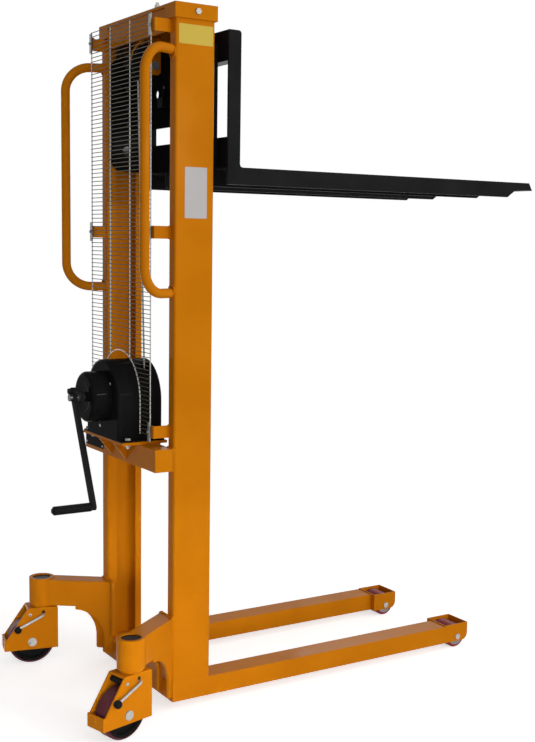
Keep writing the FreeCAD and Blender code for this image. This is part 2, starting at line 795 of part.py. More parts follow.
def build_caster(side, swivel_y, swivel_angle):
    """One braked caster: forked yoke, wheel and foot lever, drawn about its swivel axis."""
    turn = Rotation(Vector(0, 0, 1), swivel_angle.number)
    centre = (-d.swivel_back, swivel_y, 0)
    home = sized(0)
    half = d.caster_width / 2
    plate = d.caster_plate
    inner = half - plate
    gap = d.running_gap
    axle = (-d.caster_trail, d.caster_wheel_radius)
    pin = (-d.brake_pin_back, d.caster_top - d.brake_pin_drop)
    lever = (sized(0), d.caster_top - d.brake_axis_drop)

    def set_down(piece):
        return moved(piece, *centre, turn)

    band_x = -d.caster_rear + d.caster_band_setback
    outline = [
        (d.caster_front, d.caster_bottom), (d.caster_front, d.caster_top),
        (-d.caster_top_rear, d.caster_top), (band_x, d.caster_band),
        (-d.caster_rear, d.caster_band), (-d.caster_rear, d.caster_bottom),
    ]
    holes = [(*axle, d.caster_axle_radius + gap), (*pin, d.brake_pin_radius + gap),
             (*lever, d.brake_rod_radius + gap)]
    shell = plate_body("XZ_Plane", outline, d.caster_width, holes)
    round_corners(shell, d.caster_edge_round, [(d.caster_front, d.caster_top)], axis=1)
    place(shell, 0, half, 0, shift=home)
    room = block((-d.caster_rear + plate, d.caster_front + d.cut_overrun), (-inner, inner),
                 (0, d.caster_top - plate), shift=home)
    ring_height = d.swivel_bottom - d.face_gap - d.caster_top
    ring = rod("Z", (0, 0, d.caster_top), ring_height, d.thrust_ring_radius, shift=home)
    kingpin = rod("Z", (0, 0, d.caster_top), d.kingpin_length, d.kingpin_radius, shift=home)
    node(f"{side}_caster_yoke", set_down(fuse(cut(shell, room), ring, kingpin)))

    wheel_half = d.caster_wheel_width / 2
    core_half = wheel_half - d.caster_tyre_round / 2
    web = d.caster_web / 2
    hub = d.caster_hub_radius
    rim = d.caster_core_radius - d.caster_web / 2
    bore = d.caster_axle_radius + gap
    core = revolved([
        (bore, -inner + d.face_gap), (hub, -inner + d.face_gap), (hub, -web), (rim, -web), (rim, -core_half),
        (d.caster_core_radius, -core_half), (d.caster_core_radius, core_half), (rim, core_half), (rim, web),
        (hub, web), (hub, inner - d.face_gap), (bore, inner - d.face_gap),
    ])
    chamfer = d.caster_tyre_round
    radius = d.caster_wheel_radius
    tyre = revolved([
        (d.caster_core_radius, -wheel_half), (radius - chamfer, -wheel_half),
        (radius, -wheel_half + chamfer), (radius, wheel_half - chamfer),
        (radius - chamfer, wheel_half), (d.caster_core_radius, wheel_half),
    ])

    def on_axle(piece):
        return set_down(moved(piece, axle[0], 0, axle[1], AXIS_TURN["Y"], home))

    node(f"{side}_caster_core", on_axle(core))
    node(f"{side}_caster_tyre", on_axle(tyre))

    def across(spot, radius, head_radius, head, extra):
        bar = rod("Y", (spot[0], -half, spot[1]), d.caster_width, radius, home)
        ends = [rod("Y", (spot[0], y, spot[1]), head, head_radius, home) for y in (-half - head, half)]
        return fuse(bar, *ends, *extra)

    brake_bar = rod("Y", (pin[0], -inner, pin[1]), inner * 2, d.brake_bar_radius, home)
    axle_bolt = across(axle, d.caster_axle_radius, d.caster_axle_head_radius, d.caster_axle_head, [])
    brake_pin = across(pin, d.brake_pin_radius, d.brake_pin_head_radius, d.brake_pin_head, [brake_bar])
    node_group(f"{side}_caster_pins", set_down(axle_bolt), set_down(brake_pin))

    rod_y = -half - d.brake_rod_reach
    spindle = rod("Y", (lever[0], rod_y, lever[1]), half - rod_y, d.brake_rod_radius, home)
    elbow = doc.addObject("Part::Sphere", "Elbow")
    bind(elbow, "Radius", d.brake_rod_radius)
    place(elbow, lever[0], rod_y, lever[1], shift=home)
    cam = rod("Y", (lever[0], -d.brake_cam_width / 2, lever[1]), d.brake_cam_width, d.brake_cam_radius, home)
    neck = d.brake_rod_radius
    start = d.brake_lever_length
    end = start + d.brake_knob_length
    bulge = d.brake_knob_radius
    taper = d.brake_knob_round
    bar = revolved([(0, 0), (neck, 0), (neck, start), (bulge - taper / 2, start), (bulge, start + taper),
                    (bulge, end - taper), (bulge - taper, end), (0, end)])
    tilt = Rotation(Vector(0, 1, 0), -90 - d.brake_lever_slope.number)
    place(bar, lever[0], rod_y, lever[1], tilt, home)
    node(f"{side}_brake_lever", set_down(fuse(spindle, cam, elbow, bar)))


def build_winch_shelf():
    side = mast_side - d.winch_beam_end
    node("winch_beam", block((-d.winch_beam_depth, 0), (-side, side), (winch_beam_bottom, shelf_bottom)))

    half = d.shelf_half_width
    outline = [(-d.shelf_rear, -half), (d.shelf_front, -half), (d.shelf_front, half), (-d.shelf_rear, half)]
    sides = (-d.shelf_bolt_side, d.shelf_bolt_side)
    spots = [(x, y) for x in (-d.shelf_bolt_rear, d.shelf_bolt_front) for y in sides]
    hole = d.shelf_bolt_radius + d.running_gap
    shelf = plate_body("XY_Plane", outline, d.shelf_thickness, [(x, y, hole) for x, y in spots])
    node("winch_shelf", place(shelf, 0, 0, shelf_bottom))

    corner = [(-d.shelf_rear + d.shelf_gusset_foot, shelf_bottom), (-d.winch_beam_depth, shelf_bottom),
              (-d.winch_beam_depth, winch_beam_bottom + d.shelf_gusset_foot)]
    web = plate_body("XZ_Plane", corner, d.shelf_gusset)
    place(web, 0, -d.shelf_gusset_side, 0)
    node_group("shelf_gussets", web, mirrored(web))

    flange_top = shelf_top + d.cover_flange_plate
    shank = flange_top - shelf_bottom + d.bolt_tail
    bolts = []
    for x, y in spots:
        bolts.append(hex_bolt((x, y, flange_top), "Z", d.bolt_head, d.bolt_head_radius,
                              shank, d.shelf_bolt_radius))
        nut = hexagon("Z", (x, y, shelf_bottom - d.bolt_head), d.bolt_head, d.bolt_head_radius)
        drilled = rod("Z", (x, y, shelf_bottom - d.bolt_head - d.cut_overrun),
                      d.bolt_head + d.cut_overrun * 2, d.shelf_bolt_radius + d.running_gap)
        bolts.append(cut(nut, drilled))
    return bolts, spots


def arched(x, half, bottom, top):
    """A solid with upright sides and a half-round top, along X."""
    crown = rod("X", (x[0], 0, top - half), x[1] - x[0], half)
    return fuse(block(x, (-half, half), (bottom, top - half)), crown)


def build_winch_cover(bolt_spots):
    wall = d.cover_wall
    rear = -d.shelf_rear
    reach = (rear, d.cover_front)
    outside = arched(reach, d.cover_radius, shelf_top, cover_top)

    def crown_edge(edge):
        at_end = all(abs(v.Point.x - mast_x.number - rear.number) < same_spot for v in edge.Vertexes)
        level = all(abs(v.Point.z - shelf_top.number) < same_spot for v in edge.Vertexes)
        return at_end and not level

    outside = rounded(outside, d.cover_edge_round, crown_edge)
    inside = arched((rear + wall, d.cover_front - wall), d.cover_radius - wall,
                    shelf_top - d.cut_overrun, cover_top - wall)
    shell = cut(outside, inside)
    flange_side = d.cover_radius + d.cover_flange
    flanges = []
    for low, high in ((-flange_side, -d.cover_radius + wall / 2), (d.cover_radius - wall / 2, flange_side)):
        flanges.append(block(reach, (low, high), (shelf_top, shelf_top + d.cover_flange_plate)))
    bolt_holes = [rod("Z", (x, y, shelf_top - d.cut_overrun), d.cover_flange_plate + d.cut_overrun * 2,
                      d.shelf_bolt_radius + d.running_gap) for x, y in bolt_spots]
    slot_y = winch_y - d.winding_radius - d.rope_radius
    half_slot = d.rope_slot / 2
    slot = block((-half_slot, half_slot), (slot_y - half_slot, slot_y + half_slot),
                 (winch_z, cover_top + d.cut_overrun))
    shaft_hole = rod("X", (rear - d.cut_overrun, winch_y, winch_z), wall + d.cut_overrun * 2,
                     d.crank_shaft_radius + d.face_gap)
    node("winch_cover", cut(fuse(shell, *flanges), slot, shaft_hole, *bolt_holes))

    boss_rear = rear - d.gear_cover_depth
    boss = rod("X", (boss_rear, winch_y, winch_z), d.gear_cover_depth, d.gear_cover_radius)

    def outer_edge(edge):
        return abs(edge.BoundBox.XMax - mast_x.number - boss_rear.number) < same_spot

    boss = rounded(boss, d.gear_cover_round, outer_edge)
    mouth = boss_rear - d.cut_overrun
    bore = rod("X", (mouth, winch_y, winch_z), d.gear_cover_depth + d.cut_overrun * 2,
               d.crank_shaft_radius + d.running_gap)
    recess = rod("X", (mouth, winch_y, winch_z), d.gear_cover_recess + d.cut_overrun,
                 d.gear_cover_recess_radius)
    node("gear_cover", cut(boss, recess, bore))


def build_winch_inside():
    drum_rear = d.drum_front - d.drum_length - d.drum_flange * 2
    plate = d.winch_plate
    gap = d.face_gap
    half = d.winch_plate_half_width
    head = winch_z + d.winch_plate_head
    front_plate = (d.drum_front + gap, d.drum_front + gap + plate)
    rear_plate = (drum_rear - gap - plate, drum_rear - gap)
    wide = (winch_y - half, winch_y + half)
    walls = [block(x, wide, (shelf_top, head)) for x in (front_plate, rear_plate)]
    foot = block((rear_plate[0], front_plate[1]), wide, (shelf_top, shelf_top + plate))
    bore = rod("X", (rear_plate[0] - d.cut_overrun, winch_y, winch_z),
               front_plate[1] - rear_plate[0] + d.cut_overrun * 2, d.drum_shaft_radius + d.running_gap)
    node("winch_frame", cut(fuse(*walls, foot), bore))

    def on_axis(x, length, radius):
        return rod("X", (x, winch_y, winch_z), length, radius)

    shaft = on_axis(rear_plate[0], front_plate[1] - rear_plate[0], d.drum_shaft_radius)
    barrel = on_axis(drum_rear, d.drum_front - drum_rear, d.drum_radius)
    flanges = [on_axis(x, d.drum_flange, d.drum_flange_radius)
               for x in (drum_rear, d.drum_front - d.drum_flange)]
    node("winch_drum", fuse(shaft, barrel, *flanges))
    winding_x = drum_rear + d.drum_flange
    node("rope_winding", cut(on_axis(winding_x, d.drum_length, d.winding_radius),
                             on_axis(winding_x, d.drum_length, d.drum_radius)))
    return rear_plate[0]


def build_crank(shaft_front):
    home = sized(0)
    bar_front = -d.crank_plane + d.crank_bar_thickness / 2
    bar_rear = -d.crank_plane - d.crank_bar_thickness / 2
    shaft_rear = bar_rear - d.crank_shaft_tail
    tail = shaft_front - d.winch_plate
    shaft = rod("X", (shaft_rear, winch_y, winch_z), tail - shaft_rear, d.crank_shaft_radius)
    collar = rod("X", (bar_front, winch_y, winch_z), d.crank_collar, d.crank_collar_radius)
    nut = hexagon("X", (bar_rear - d.crank_nut, winch_y, winch_z), d.crank_nut, d.crank_nut_radius)
    node("crank_shaft", fuse(shaft, collar, nut))

    half = d.crank_bar_width / 2
    reach = d.crank_reach
    bar = block((bar_rear, bar_front), (-half, half), (-reach, d.crank_top), shift=home)
    rounds = ((d.crank_top, half), (sized(0), d.crank_hub_radius), (-reach, half))
    ends = [rod("X", (bar_rear, 0, z), d.crank_bar_thickness, radius, home) for z, radius in rounds]
    clamp = rod("X", (bar_rear - d.crank_clamp_head, 0, d.crank_top), d.crank_clamp_head,
                d.crank_clamp_radius, home)
    eye = rod("X", (bar_rear - d.cut_overrun, 0, 0), d.crank_bar_thickness + d.cut_overrun * 2,
              d.crank_shaft_radius, home)
    pin = rod("X", (bar_rear - d.grip_length - d.grip_pin_head, 0, -reach),
              d.grip_length + d.grip_pin_head, d.grip_pin_radius, home)
    turn = Rotation(Vector(1, 0, 0), -d.crank_angle.number)
    arm = fuse(cut(fuse(bar, *ends), eye), clamp, pin)
    node("crank_arm", moved(arm, 0, winch_y, winch_z, turn))

    grip_rear = bar_rear - d.grip_length
    hollow = d.grip_pin_radius + d.running_gap
    length = d.grip_length - d.face_gap
    radius = d.grip_radius
    ease = d.grip_round
    sleeve = revolved([(hollow, 0), (radius - ease, 0), (radius, ease), (radius, length - ease),
                       (radius - ease, length), (hollow, length)])
    sleeve = moved(sleeve, grip_rear, 0, -reach, AXIS_TURN["X"], home)
    node("crank_grip", moved(sleeve, 0, winch_y, winch_z, turn))


def build_handles():
    """Bent tube handles that splay outward: a leg, a bend, the grip run, a bend and a leg."""
    body = doc.addObject("PartDesign::Body", "Handle")
    route = new_sketch(body, "XZ_Plane")
    root = d.handle_radius
    reach = d.handle_reach + root
    bend = d.handle_bend
    low, high = handle_bottom, handle_top
    straight = reach - bend
    legs = [
        ((sized(0), low), (-straight, low)),
        ((-reach, low + bend), (-reach, high - bend)),
        ((-straight, high), (sized(0), high)),
    ]
    for start, end in legs:
        spots = [Vector(u.number, v.number, 0) for u, v in (start, end)]
        line = route.addGeometry(Part.LineSegment(*spots), False)
        pin_point(route, line, 1, *start)
        pin_point(route, line, 2, *end)
    # Each bend runs anticlockwise from one leg's end to another's.
    bends = (((-straight, low + bend), 180, (1, 1), (0, 2)), ((-straight, high - bend), 90, (2, 1), (1, 2)))
    for (u, v), angle, first, last in bends:
        ring = Part.Circle(Vector(u.number, v.number, 0), Vector(0, 0, 1), bend.number)
        quarter = Part.ArcOfCircle(ring, math.radians(angle), math.radians(angle + 90))
        arc = route.addGeometry(quarter, False)
        route.addConstraint(Sketcher.Constraint("Coincident", arc, 1, *first))
        route.addConstraint(Sketcher.Constraint("Coincident", arc, 2, *last))
        index = route.addConstraint(Sketcher.Constraint("Radius", arc, bend.number))
        route.setExpression(f"Constraints[{index}]", bend.formula)
    section = new_sketch(body, "YZ_Plane")
    draw_circle(section, 0, handle_bottom, d.handle_radius)
    pipe = body.newObject("PartDesign::AdditivePipe", "Bend")
    pipe.Profile = section
    pipe.Spine = route
    doc.recompute()
    turn = Rotation(Vector(0, 0, 1), d.handle_splay.number)
    place(body, root * cosine(d.handle_splay), -d.handle_side + root * sine(d.handle_splay), 0, turn)
    ahead = block((0, d.upright_depth), (-d.handle_side - reach, 0), (low - bend, high + bend))
    node_pair("handle", cut(body, ahead))


def build_guard():
    """The wire guard: upright wires joined by thin cross wires, with an arched mouth round the winch."""
    half = d.guard_half_width.number
    inner = d.guard_inner_wire.number
    thick = d.guard_wire.number
    fine = d.guard_cross_wire.number
    pitch = d.guard_pitch.number
    top, bottom = guard_top.number, guard_bottom.number
    arch_radius = d.guard_arch_radius.number
    arch_z = guard_arch_top.number - arch_radius
    columns = (-half, -inner, inner, half)

    def rectangle(y0, y1, z0, z1):
        corners = [Vector(0, y, z) for y, z in ((y0, z0), (y1, z0), (y1, z1), (y0, z1))]
        return Part.makePolygon(corners + corners[:1])

    def arch_half(z):
        """Half the mouth's width at a height, zero above the arch."""
        if z <= arch_z:
            return arch_radius
        return math.sqrt(max(arch_radius ** 2 - (z - arch_z) ** 2, 0))

    edge = thick / 2
    outer = half + edge
    rim = arch_radius + edge
    foot = bottom - edge
    outline = Part.Wire([
        Part.makeLine(Vector(0, -rim, foot), Vector(0, -outer, foot)),
        Part.makeLine(Vector(0, -outer, foot), Vector(0, -outer, top)),
        Part.makeLine(Vector(0, -outer, top), Vector(0, outer, top)),
        Part.makeLine(Vector(0, outer, top), Vector(0, outer, foot)),
        Part.makeLine(Vector(0, outer, foot), Vector(0, rim - thick, foot)),
        Part.makeLine(Vector(0, rim - thick, foot), Vector(0, rim - thick, arch_z)),
        Part.Arc(Vector(0, rim - thick, arch_z), Vector(0, 0, arch_z + rim - thick),
                 Vector(0, -rim + thick, arch_z)).toShape(),
        Part.makeLine(Vector(0, -rim + thick, arch_z), Vector(0, -rim + thick, foot)),
        Part.makeLine(Vector(0, -rim + thick, foot), Vector(0, -rim, foot)),
    ])
    openings = []
    rows = int((top - bottom - edge) / pitch)
    for row_index in range(rows):
        low = top - (row_index + 1) * pitch + fine / 2
        high = low + pitch - fine
        mouth = arch_half(low - edge)
        for left, right in zip(columns[:-1], columns[1:]):
            left_edge, right_edge = left + edge, right - edge
            if mouth == 0:
                openings.append(rectangle(left_edge, right_edge, low, high))
                continue
            if left < 0 and left_edge < -mouth - thick - pitch:
                openings.append(rectangle(left_edge, min(right_edge, -mouth - thick), low, high))
            if right > 0 and right_edge > mouth + thick + pitch:
                openings.append(rectangle(max(left_edge, mouth + thick), right_edge, low, high))
    sheet_face = Part.Face([outline] + openings)
    net = doc.addObject("Part::Feature", "Net")
    net.Shape = sheet_face.extrude(Vector(fine, 0, 0))
    node("guard_mesh", place(net, -d.guard_back - d.guard_cross_wire / 2, 0, 0))

    net_rear = -d.guard_back - d.guard_cross_wire / 2
    net_front = net_rear + d.guard_cross_wire
    tab_inner = upright_inner + d.upright_corner
    tab_outer = tab_inner + d.guard_tab_plate
    clamp_inner = d.guard_half_width - d.guard_clamp_width / 2
    clamp_rear = net_rear - d.guard_clamp_plate
    tabs = []
    clamps = []
    for height in (guard_tab_low, guard_tab_middle, guard_tab_top):
        tall = (height - d.guard_tab_height / 2, height + d.guard_tab_height / 2)
        web = block((net_front, 0), (-tab_outer, -tab_inner), tall)
        flange = block((net_front, net_front + d.guard_tab_plate), (-tab_outer, -clamp_inner), tall)
        tabs.append(fuse(web, flange))
        clamp = block((clamp_rear, net_rear), (-clamp_inner - d.guard_clamp_width, -clamp_inner),
                      (height - d.guard_clamp_height / 2, height + d.guard_clamp_height / 2))
        screw = rod("X", (clamp_rear - d.guard_bolt_head, -d.guard_half_width, height),
                    d.guard_bolt_head, d.guard_bolt_radius)
        clamps.append(fuse(clamp, screw))
    node_group("guard_tabs", *tabs, *[mirrored(tab) for tab in tabs])
    node_group("guard_clamps", *clamps, *[mirrored(clamp) for clamp in clamps])


def build_pulley():
    half = d.pulley_plate_half_width
    x = d.pulley_forward
    z = pulley_height
    bottom = z - d.pulley_plate_drop
    top = upright_top - d.head_beam_wall
    chamfer = d.pulley_plate_chamfer
    outline = [(x - half, top), (x + half, top), (x + half, bottom + chamfer), (x + half - chamfer, bottom),
               (x - half + chamfer, bottom), (x - half, bottom + chamfer)]
    plate = plate_body("XZ_Plane", outline, d.pulley_plate, [(x, z, d.pulley_axle_radius + d.running_gap)])
    place(plate, 0, -pulley_plate_inner, 0)
    node_group("pulley_plates", plate, mirrored(plate))

    outer = pulley_plate_inner + d.pulley_plate
    head = d.pulley_axle_head
    pin = rod("Y", (x, -outer, z), outer * 2, d.pulley_axle_radius)
    heads = [rod("Y", (x, y, z), head, d.pulley_axle_head_radius) for y in (-outer - head, outer)]
    node("pulley_axle", fuse(pin, *heads))

    wide = pulley_plate_inner - d.face_gap
    face = d.pulley_width / 2
    bottom_radius = d.pulley_rope_radius - d.rope_radius - d.face_gap
    seat = d.rope_radius + d.face_gap
    flare = d.pulley_groove_half
    hub = d.pulley_axle_head_radius + d.pulley_side_gap
    bore = d.pulley_axle_radius + d.running_gap
    rim = d.pulley_rim_radius
    wheel = revolved([
        (bore, -wide), (hub, -wide), (hub, -face), (rim, -face), (rim, -flare), (bottom_radius, -seat),
        (bottom_radius, seat), (rim, flare), (rim, face), (hub, face), (hub, wide), (bore, wide),
    ])
    node("top_pulley", moved(wheel, x, 0, z, AXIS_TURN["Y"]))


def build_rope():
    """The rope's fixed route: up from the drum, then over the pulley to where the moving fall starts."""
    foot_y = winch_y - d.winding_radius - d.rope_radius - d.face_gap
    rise = pulley_height - winch_z
    run = doc.addObject("Part::Cylinder", "RopeRun")
    bind(run, "Radius", d.rope_radius)
    bind(run, "Height", diagonal(rope_rear_x, foot_y, rise) + d.rope_radius / 2)
    lean = Rotation(Vector(0, 0, 1), Vector(rope_rear_x.number, -foot_y.number, rise.number))
    place(run, 0, foot_y, winch_z, lean)
    over = doc.addObject("Part::Torus", "RopeOverPulley")
    bind(over, "Radius1", d.pulley_rope_radius)
    bind(over, "Radius2", d.rope_radius)
    over.Angle3 = 180
    place(over, d.pulley_forward, 0, pulley_height, Rotation(Vector(1, 0, 0), 90))
    node("rope_run", fuse(run, over))
    socket_top = anchor_top + d.socket_height
    fall = pulley_height - socket_top
    node("rope_fall", rod("Z", (rope_front_x, 0, socket_top), fall, d.rope_radius))


def build_carriage():
    plate = d.carriage_plate
    foot = fork_under + d.carriage_foot
    corner = d.carriage_corner
    outline = [
        (d.carriage_rear, foot + corner), (d.carriage_rear + corner, foot), (d.shank_rear, foot),
        (d.shank_rear, carriage_top), (d.carriage_rear + corner, carriage_top),
        (d.carriage_rear, carriage_top - corner),
    ]
    heights = (roller_upper, roller_lower)
    bolt_upper = carriage_top - d.carriage_bolt_drop
    bolt_middle = bolt_upper - d.carriage_bolt_upper_pitch
    bolt_heights = (bolt_upper, bolt_middle, bolt_middle - d.carriage_bolt_lower_pitch)
    bolt_x = d.carriage_bolt_forward
    holes = [(roller_x, z, d.roller_axle_radius + d.running_gap) for z in heights]
    holes += [(bolt_x, z, d.carriage_bolt_radius + d.running_gap) for z in bolt_heights]
    side_plate = plate_body("XZ_Plane", outline, plate, holes)
    place(side_plate, 0, -carriage_inner, 0)
    node_pair("carriage_plate", side_plate)

    roller_inner = roller_outer - d.roller_width
    head = d.roller_axle_head
    axles = []
    for z in heights:
        stub = rod("Y", (roller_x, -roller_outer, z), roller_outer - carriage_inner, d.roller_axle_radius)
        cap = rod("Y", (roller_x, -carriage_inner, z), head, d.roller_axle_head_radius)
        collar = rod("Y", (roller_x, -roller_inner + d.face_gap, z),
                     roller_inner - carriage_outer - d.face_gap, d.roller_axle_head_radius)
        axles.append(fuse(stub, cap, collar))
    bolts = [hex_bolt((bolt_x, -carriage_inner, z), "Y", d.carriage_bolt_head, d.carriage_bolt_head_radius,
                      plate, d.carriage_bolt_radius) for z in bolt_heights]
    pins = axles + bolts
    node_group("carriage_pins", *pins, *[mirrored(pin) for pin in pins])

    bore = d.roller_axle_radius + d.running_gap
    edge = d.roller_edge
    half = d.roller_width / 2
    for name, z in (("upper", roller_upper), ("lower", roller_lower)):
        wheel = revolved([(bore, -half), (roller_radius - edge, -half), (roller_radius, -half + edge),
                          (roller_radius, half - edge), (roller_radius - edge, half), (bore, half)])
        node_pair(f"{name}_roller", moved(wheel, roller_x, -roller_outer + half, z, AXIS_TURN["Y"]))

    panel_x = (rope_panel_x, rope_panel_x + d.rope_panel)
    panel_z = (carriage_top - d.rope_panel_height, carriage_top)
    panel = block(panel_x, (-carriage_inner, carriage_inner), panel_z)
    windows = [rod("X", (rope_panel_x - d.cut_overrun, side, carriage_top - d.rope_panel_hole_drop),
                   d.rope_panel + d.cut_overrun * 2, d.rope_panel_hole)
               for side in (-d.rope_panel_hole_side, d.rope_panel_hole_side)]
    node("rope_panel", cut(panel, *windows))

    anchor_rear = rope_front_x - d.anchor_end
    half_width = d.anchor_width / 2
    shoe = block((anchor_rear, rope_panel_x), (-half_width, half_width),
                 (anchor_top - d.anchor_height, anchor_top))
    socket = rod("Z", (rope_front_x, 0, anchor_top), d.socket_height, d.socket_radius)
    node("rope_anchor", fuse(shoe, socket))


def build_fork_frame():
    wall = d.beam_wall
    upper_bottom = shank_top - d.upper_beam_height
    overrun = d.cut_overrun

    def box_beam(low, high):
        outside = block((d.shank_rear, shank_front), (-beam_side, beam_side), (low, high))
        through = (-beam_side - overrun, beam_side + overrun)
        inside = block((d.shank_rear + wall, shank_front - wall), through, (low + wall, high - wall))
        return cut(outside, inside)

    node("upper_fork_beam", box_beam(upper_bottom, shank_top))
    seat_z = d.fork_height - d.beam_seat
    node("lower_fork_beam", box_beam(seat_z, lower_beam_top))

    rear = d.shank_rear
    bottom = d.fork_height - d.fork_depth
    tip_bottom = d.fork_height - d.fork_tip_depth
    step = fork_tip - d.fork_step_back
    profile = [
        (rear, d.fork_height), (fork_tip - d.fork_tip_slope, d.fork_height), (fork_tip, tip_bottom),
        (step + d.fork_step_run, tip_bottom), (step, bottom), (rear, bottom),
    ]
    blade = plate_body("XZ_Plane", profile, d.fork_width)
    place(blade, 0, -fork_inner, 0)
    tip_start = fork_tip - d.fork_tip_slope

    def tip_edge(edge):
        first, last = edge.Vertexes[0].Point, edge.Vertexes[-1].Point
        at_tip = min(first.x, last.x) - mast_x.number > tip_start.number - same_spot
        return at_tip and abs(first.y - last.y) < same_spot

    blade = rounded(blade, d.fork_tip_corner, tip_edge)
    wall = d.fork_sheet
    room = block((rear - overrun, fork_tip - d.fork_nose), (-fork_side + wall, -fork_inner - wall),
                 (bottom - overrun, fork_under))
    # The beam is let into the blade, so the load face starts in front of the shank.
    seat = block((rear - overrun, shank_front), (-beam_side, -fork_inner), (seat_z, d.fork_height + overrun))
    nosed = cut(blade, room, seat)

    heel = shank_front + d.heel_length
    side_outline = [
        (rear, bottom), (heel, bottom), (heel, d.fork_height), (shank_front, d.fork_height),
        (shank_front, shank_top), (rear, shank_top),
    ]
    shank = plate_body("XZ_Plane", side_outline, d.shank_plate)
    round_corners(shank, d.heel_round, [(shank_front, d.fork_height)], axis=1)
    round_corners(shank, d.shank_round, [(shank_front, shank_top)], axis=1)
    place(shank, 0, -beam_side, 0)
    node_pair("fork", fuse(nosed, shank))


def build_frame_bolts(shelf_bolts):
    """The mast's own bolts: four on the winch shelf, one in each end of the cap, a stud on the cap."""
    side = mast_side + d.cap_lip
    left = hex_bolt((d.cap_bolt_forward, side, mast_height - d.cap_bolt_drop), "Y", d.bolt_head,
                    d.bolt_head_radius, d.cap_lip, d.shelf_bolt_radius)
    foot = (d.cap_stud_forward, -d.cap_stud_side, mast_height)
    washer = rod("Z", foot, d.washer, d.washer_radius)
    nut = hexagon("Z", foot, d.washer + d.cap_nut, d.bolt_head_radius)
    stud = fuse(washer, nut, rod("Z", foot, d.cap_stud_rise, d.cap_stud_radius))
    node_group("frame_bolts", *shelf_bolts, left, mirrored(left), stud)


build_uprights()
build_top_cap()
build_head_beam()
build_base()
build_load_rollers()
build_outriggers()
build_caster("right", -d.swivel_side, d.right_caster_angle)
build_caster("left", d.swivel_side, d.left_caster_angle)
shelf_bolts, bolt_spots = build_winch_shelf()
build_frame_bolts(shelf_bolts)
build_winch_cover(bolt_spots)
winch_rear = build_winch_inside()
build_crank(winch_rear)
build_handles()
build_guard()
build_pulley()
build_rope()
build_carriage()
build_fork_frame()

doc.recompute()
for thing in doc.Objects:
    if "Invalid" in thing.State or "Error" in thing.State:
        raise RuntimeError(f"{thing.Name} ({thing.Label}) failed: {thing.State}")
for label, piece in nodes.items():
    if piece.Shape.isNull() or not piece.Shape.isValid() or not piece.Shape.Solids:
        raise RuntimeError(f"{label} has no valid solid")
os.makedirs("parts", exist_ok=True)
for label, piece in nodes.items():
    piece.Shape.exportStep(f"parts/{label}.step")
print(f"{len(nodes)} nodes, {sum(len(piece.Shape.Solids) for piece in nodes.values())} solids")
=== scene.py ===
# %% [markdown]
# # A hand pallet stacker, dressed for its picture
# The truck comes as solids of its real size: mast, legs, carriage, winch and casters. This lesson
# gives every solid its finish and adds what solids leave out, such as round guard wires, rope
# strands, weld beads and small screws. The solids are never moved, so each new piece is placed from
# their boxes.

# %% Load the frame
import json
import math

import bmesh
import bpy
from mathutils import Matrix, Vector


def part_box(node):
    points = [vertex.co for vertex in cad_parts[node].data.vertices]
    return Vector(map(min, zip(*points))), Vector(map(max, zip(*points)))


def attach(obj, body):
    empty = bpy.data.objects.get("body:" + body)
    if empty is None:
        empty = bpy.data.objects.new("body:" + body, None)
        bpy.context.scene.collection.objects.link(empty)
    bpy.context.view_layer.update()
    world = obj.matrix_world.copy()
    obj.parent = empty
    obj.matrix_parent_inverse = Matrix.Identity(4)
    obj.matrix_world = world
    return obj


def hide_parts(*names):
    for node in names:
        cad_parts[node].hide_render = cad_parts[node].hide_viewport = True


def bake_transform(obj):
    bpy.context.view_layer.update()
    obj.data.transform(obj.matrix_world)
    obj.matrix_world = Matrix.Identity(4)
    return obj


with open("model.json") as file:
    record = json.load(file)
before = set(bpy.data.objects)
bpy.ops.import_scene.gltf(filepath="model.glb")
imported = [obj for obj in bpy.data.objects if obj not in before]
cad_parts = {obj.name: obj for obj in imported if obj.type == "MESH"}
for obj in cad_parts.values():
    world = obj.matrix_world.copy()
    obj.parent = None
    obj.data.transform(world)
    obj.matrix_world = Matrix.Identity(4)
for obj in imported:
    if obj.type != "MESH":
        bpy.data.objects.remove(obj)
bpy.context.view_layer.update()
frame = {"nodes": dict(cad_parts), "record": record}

MM = 0.001
MAST_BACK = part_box("right_upright")[0].x
SIDES = (("right", -1), ("left", 1))


def at(forward, side, height):
    """A point in millimetres: forward of the mast's rear face, to the left, and above the floor."""
    return Vector((MAST_BACK + forward * MM, side * MM, height * MM))


def span(node):
    """The box of a solid, as three (low, high) pairs in the same millimetres."""
    low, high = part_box(node)
    return [((a - o) / MM, (b - o) / MM) for a, b, o in zip(low, high, (MAST_BACK, 0, 0))]


# %% [markdown]
# ## The camera
# The picture was taken from behind the operator's right shoulder, a little above the winch. A camera
# can be placed by eye, but here its place, turn and focal length were solved from corners of known
# size, and the shift carries the picture's middle to where the lens pointed.

# %% Camera
CAMERA_PLACE = Vector((-2.05526, -3.26959, 1.39319))
CAMERA_YAW, CAMERA_PITCH, CAMERA_ROLL = map(math.radians, (57.347, -7.097, 0.995))
PICTURE_WIDTH, PICTURE_HEIGHT = 535, 742
FOCAL_PIXELS = 1181.27
LENS_MIDDLE = (288.39, 387.56)

forward = Vector((math.cos(CAMERA_YAW) * math.cos(CAMERA_PITCH),
                  math.sin(CAMERA_YAW) * math.cos(CAMERA_PITCH), math.sin(CAMERA_PITCH)))
level = Vector((math.sin(CAMERA_YAW), -math.cos(CAMERA_YAW), 0))
rise = level.cross(forward)
right = level * math.cos(CAMERA_ROLL) + rise * math.sin(CAMERA_ROLL)
up = rise * math.cos(CAMERA_ROLL) - level * math.sin(CAMERA_ROLL)

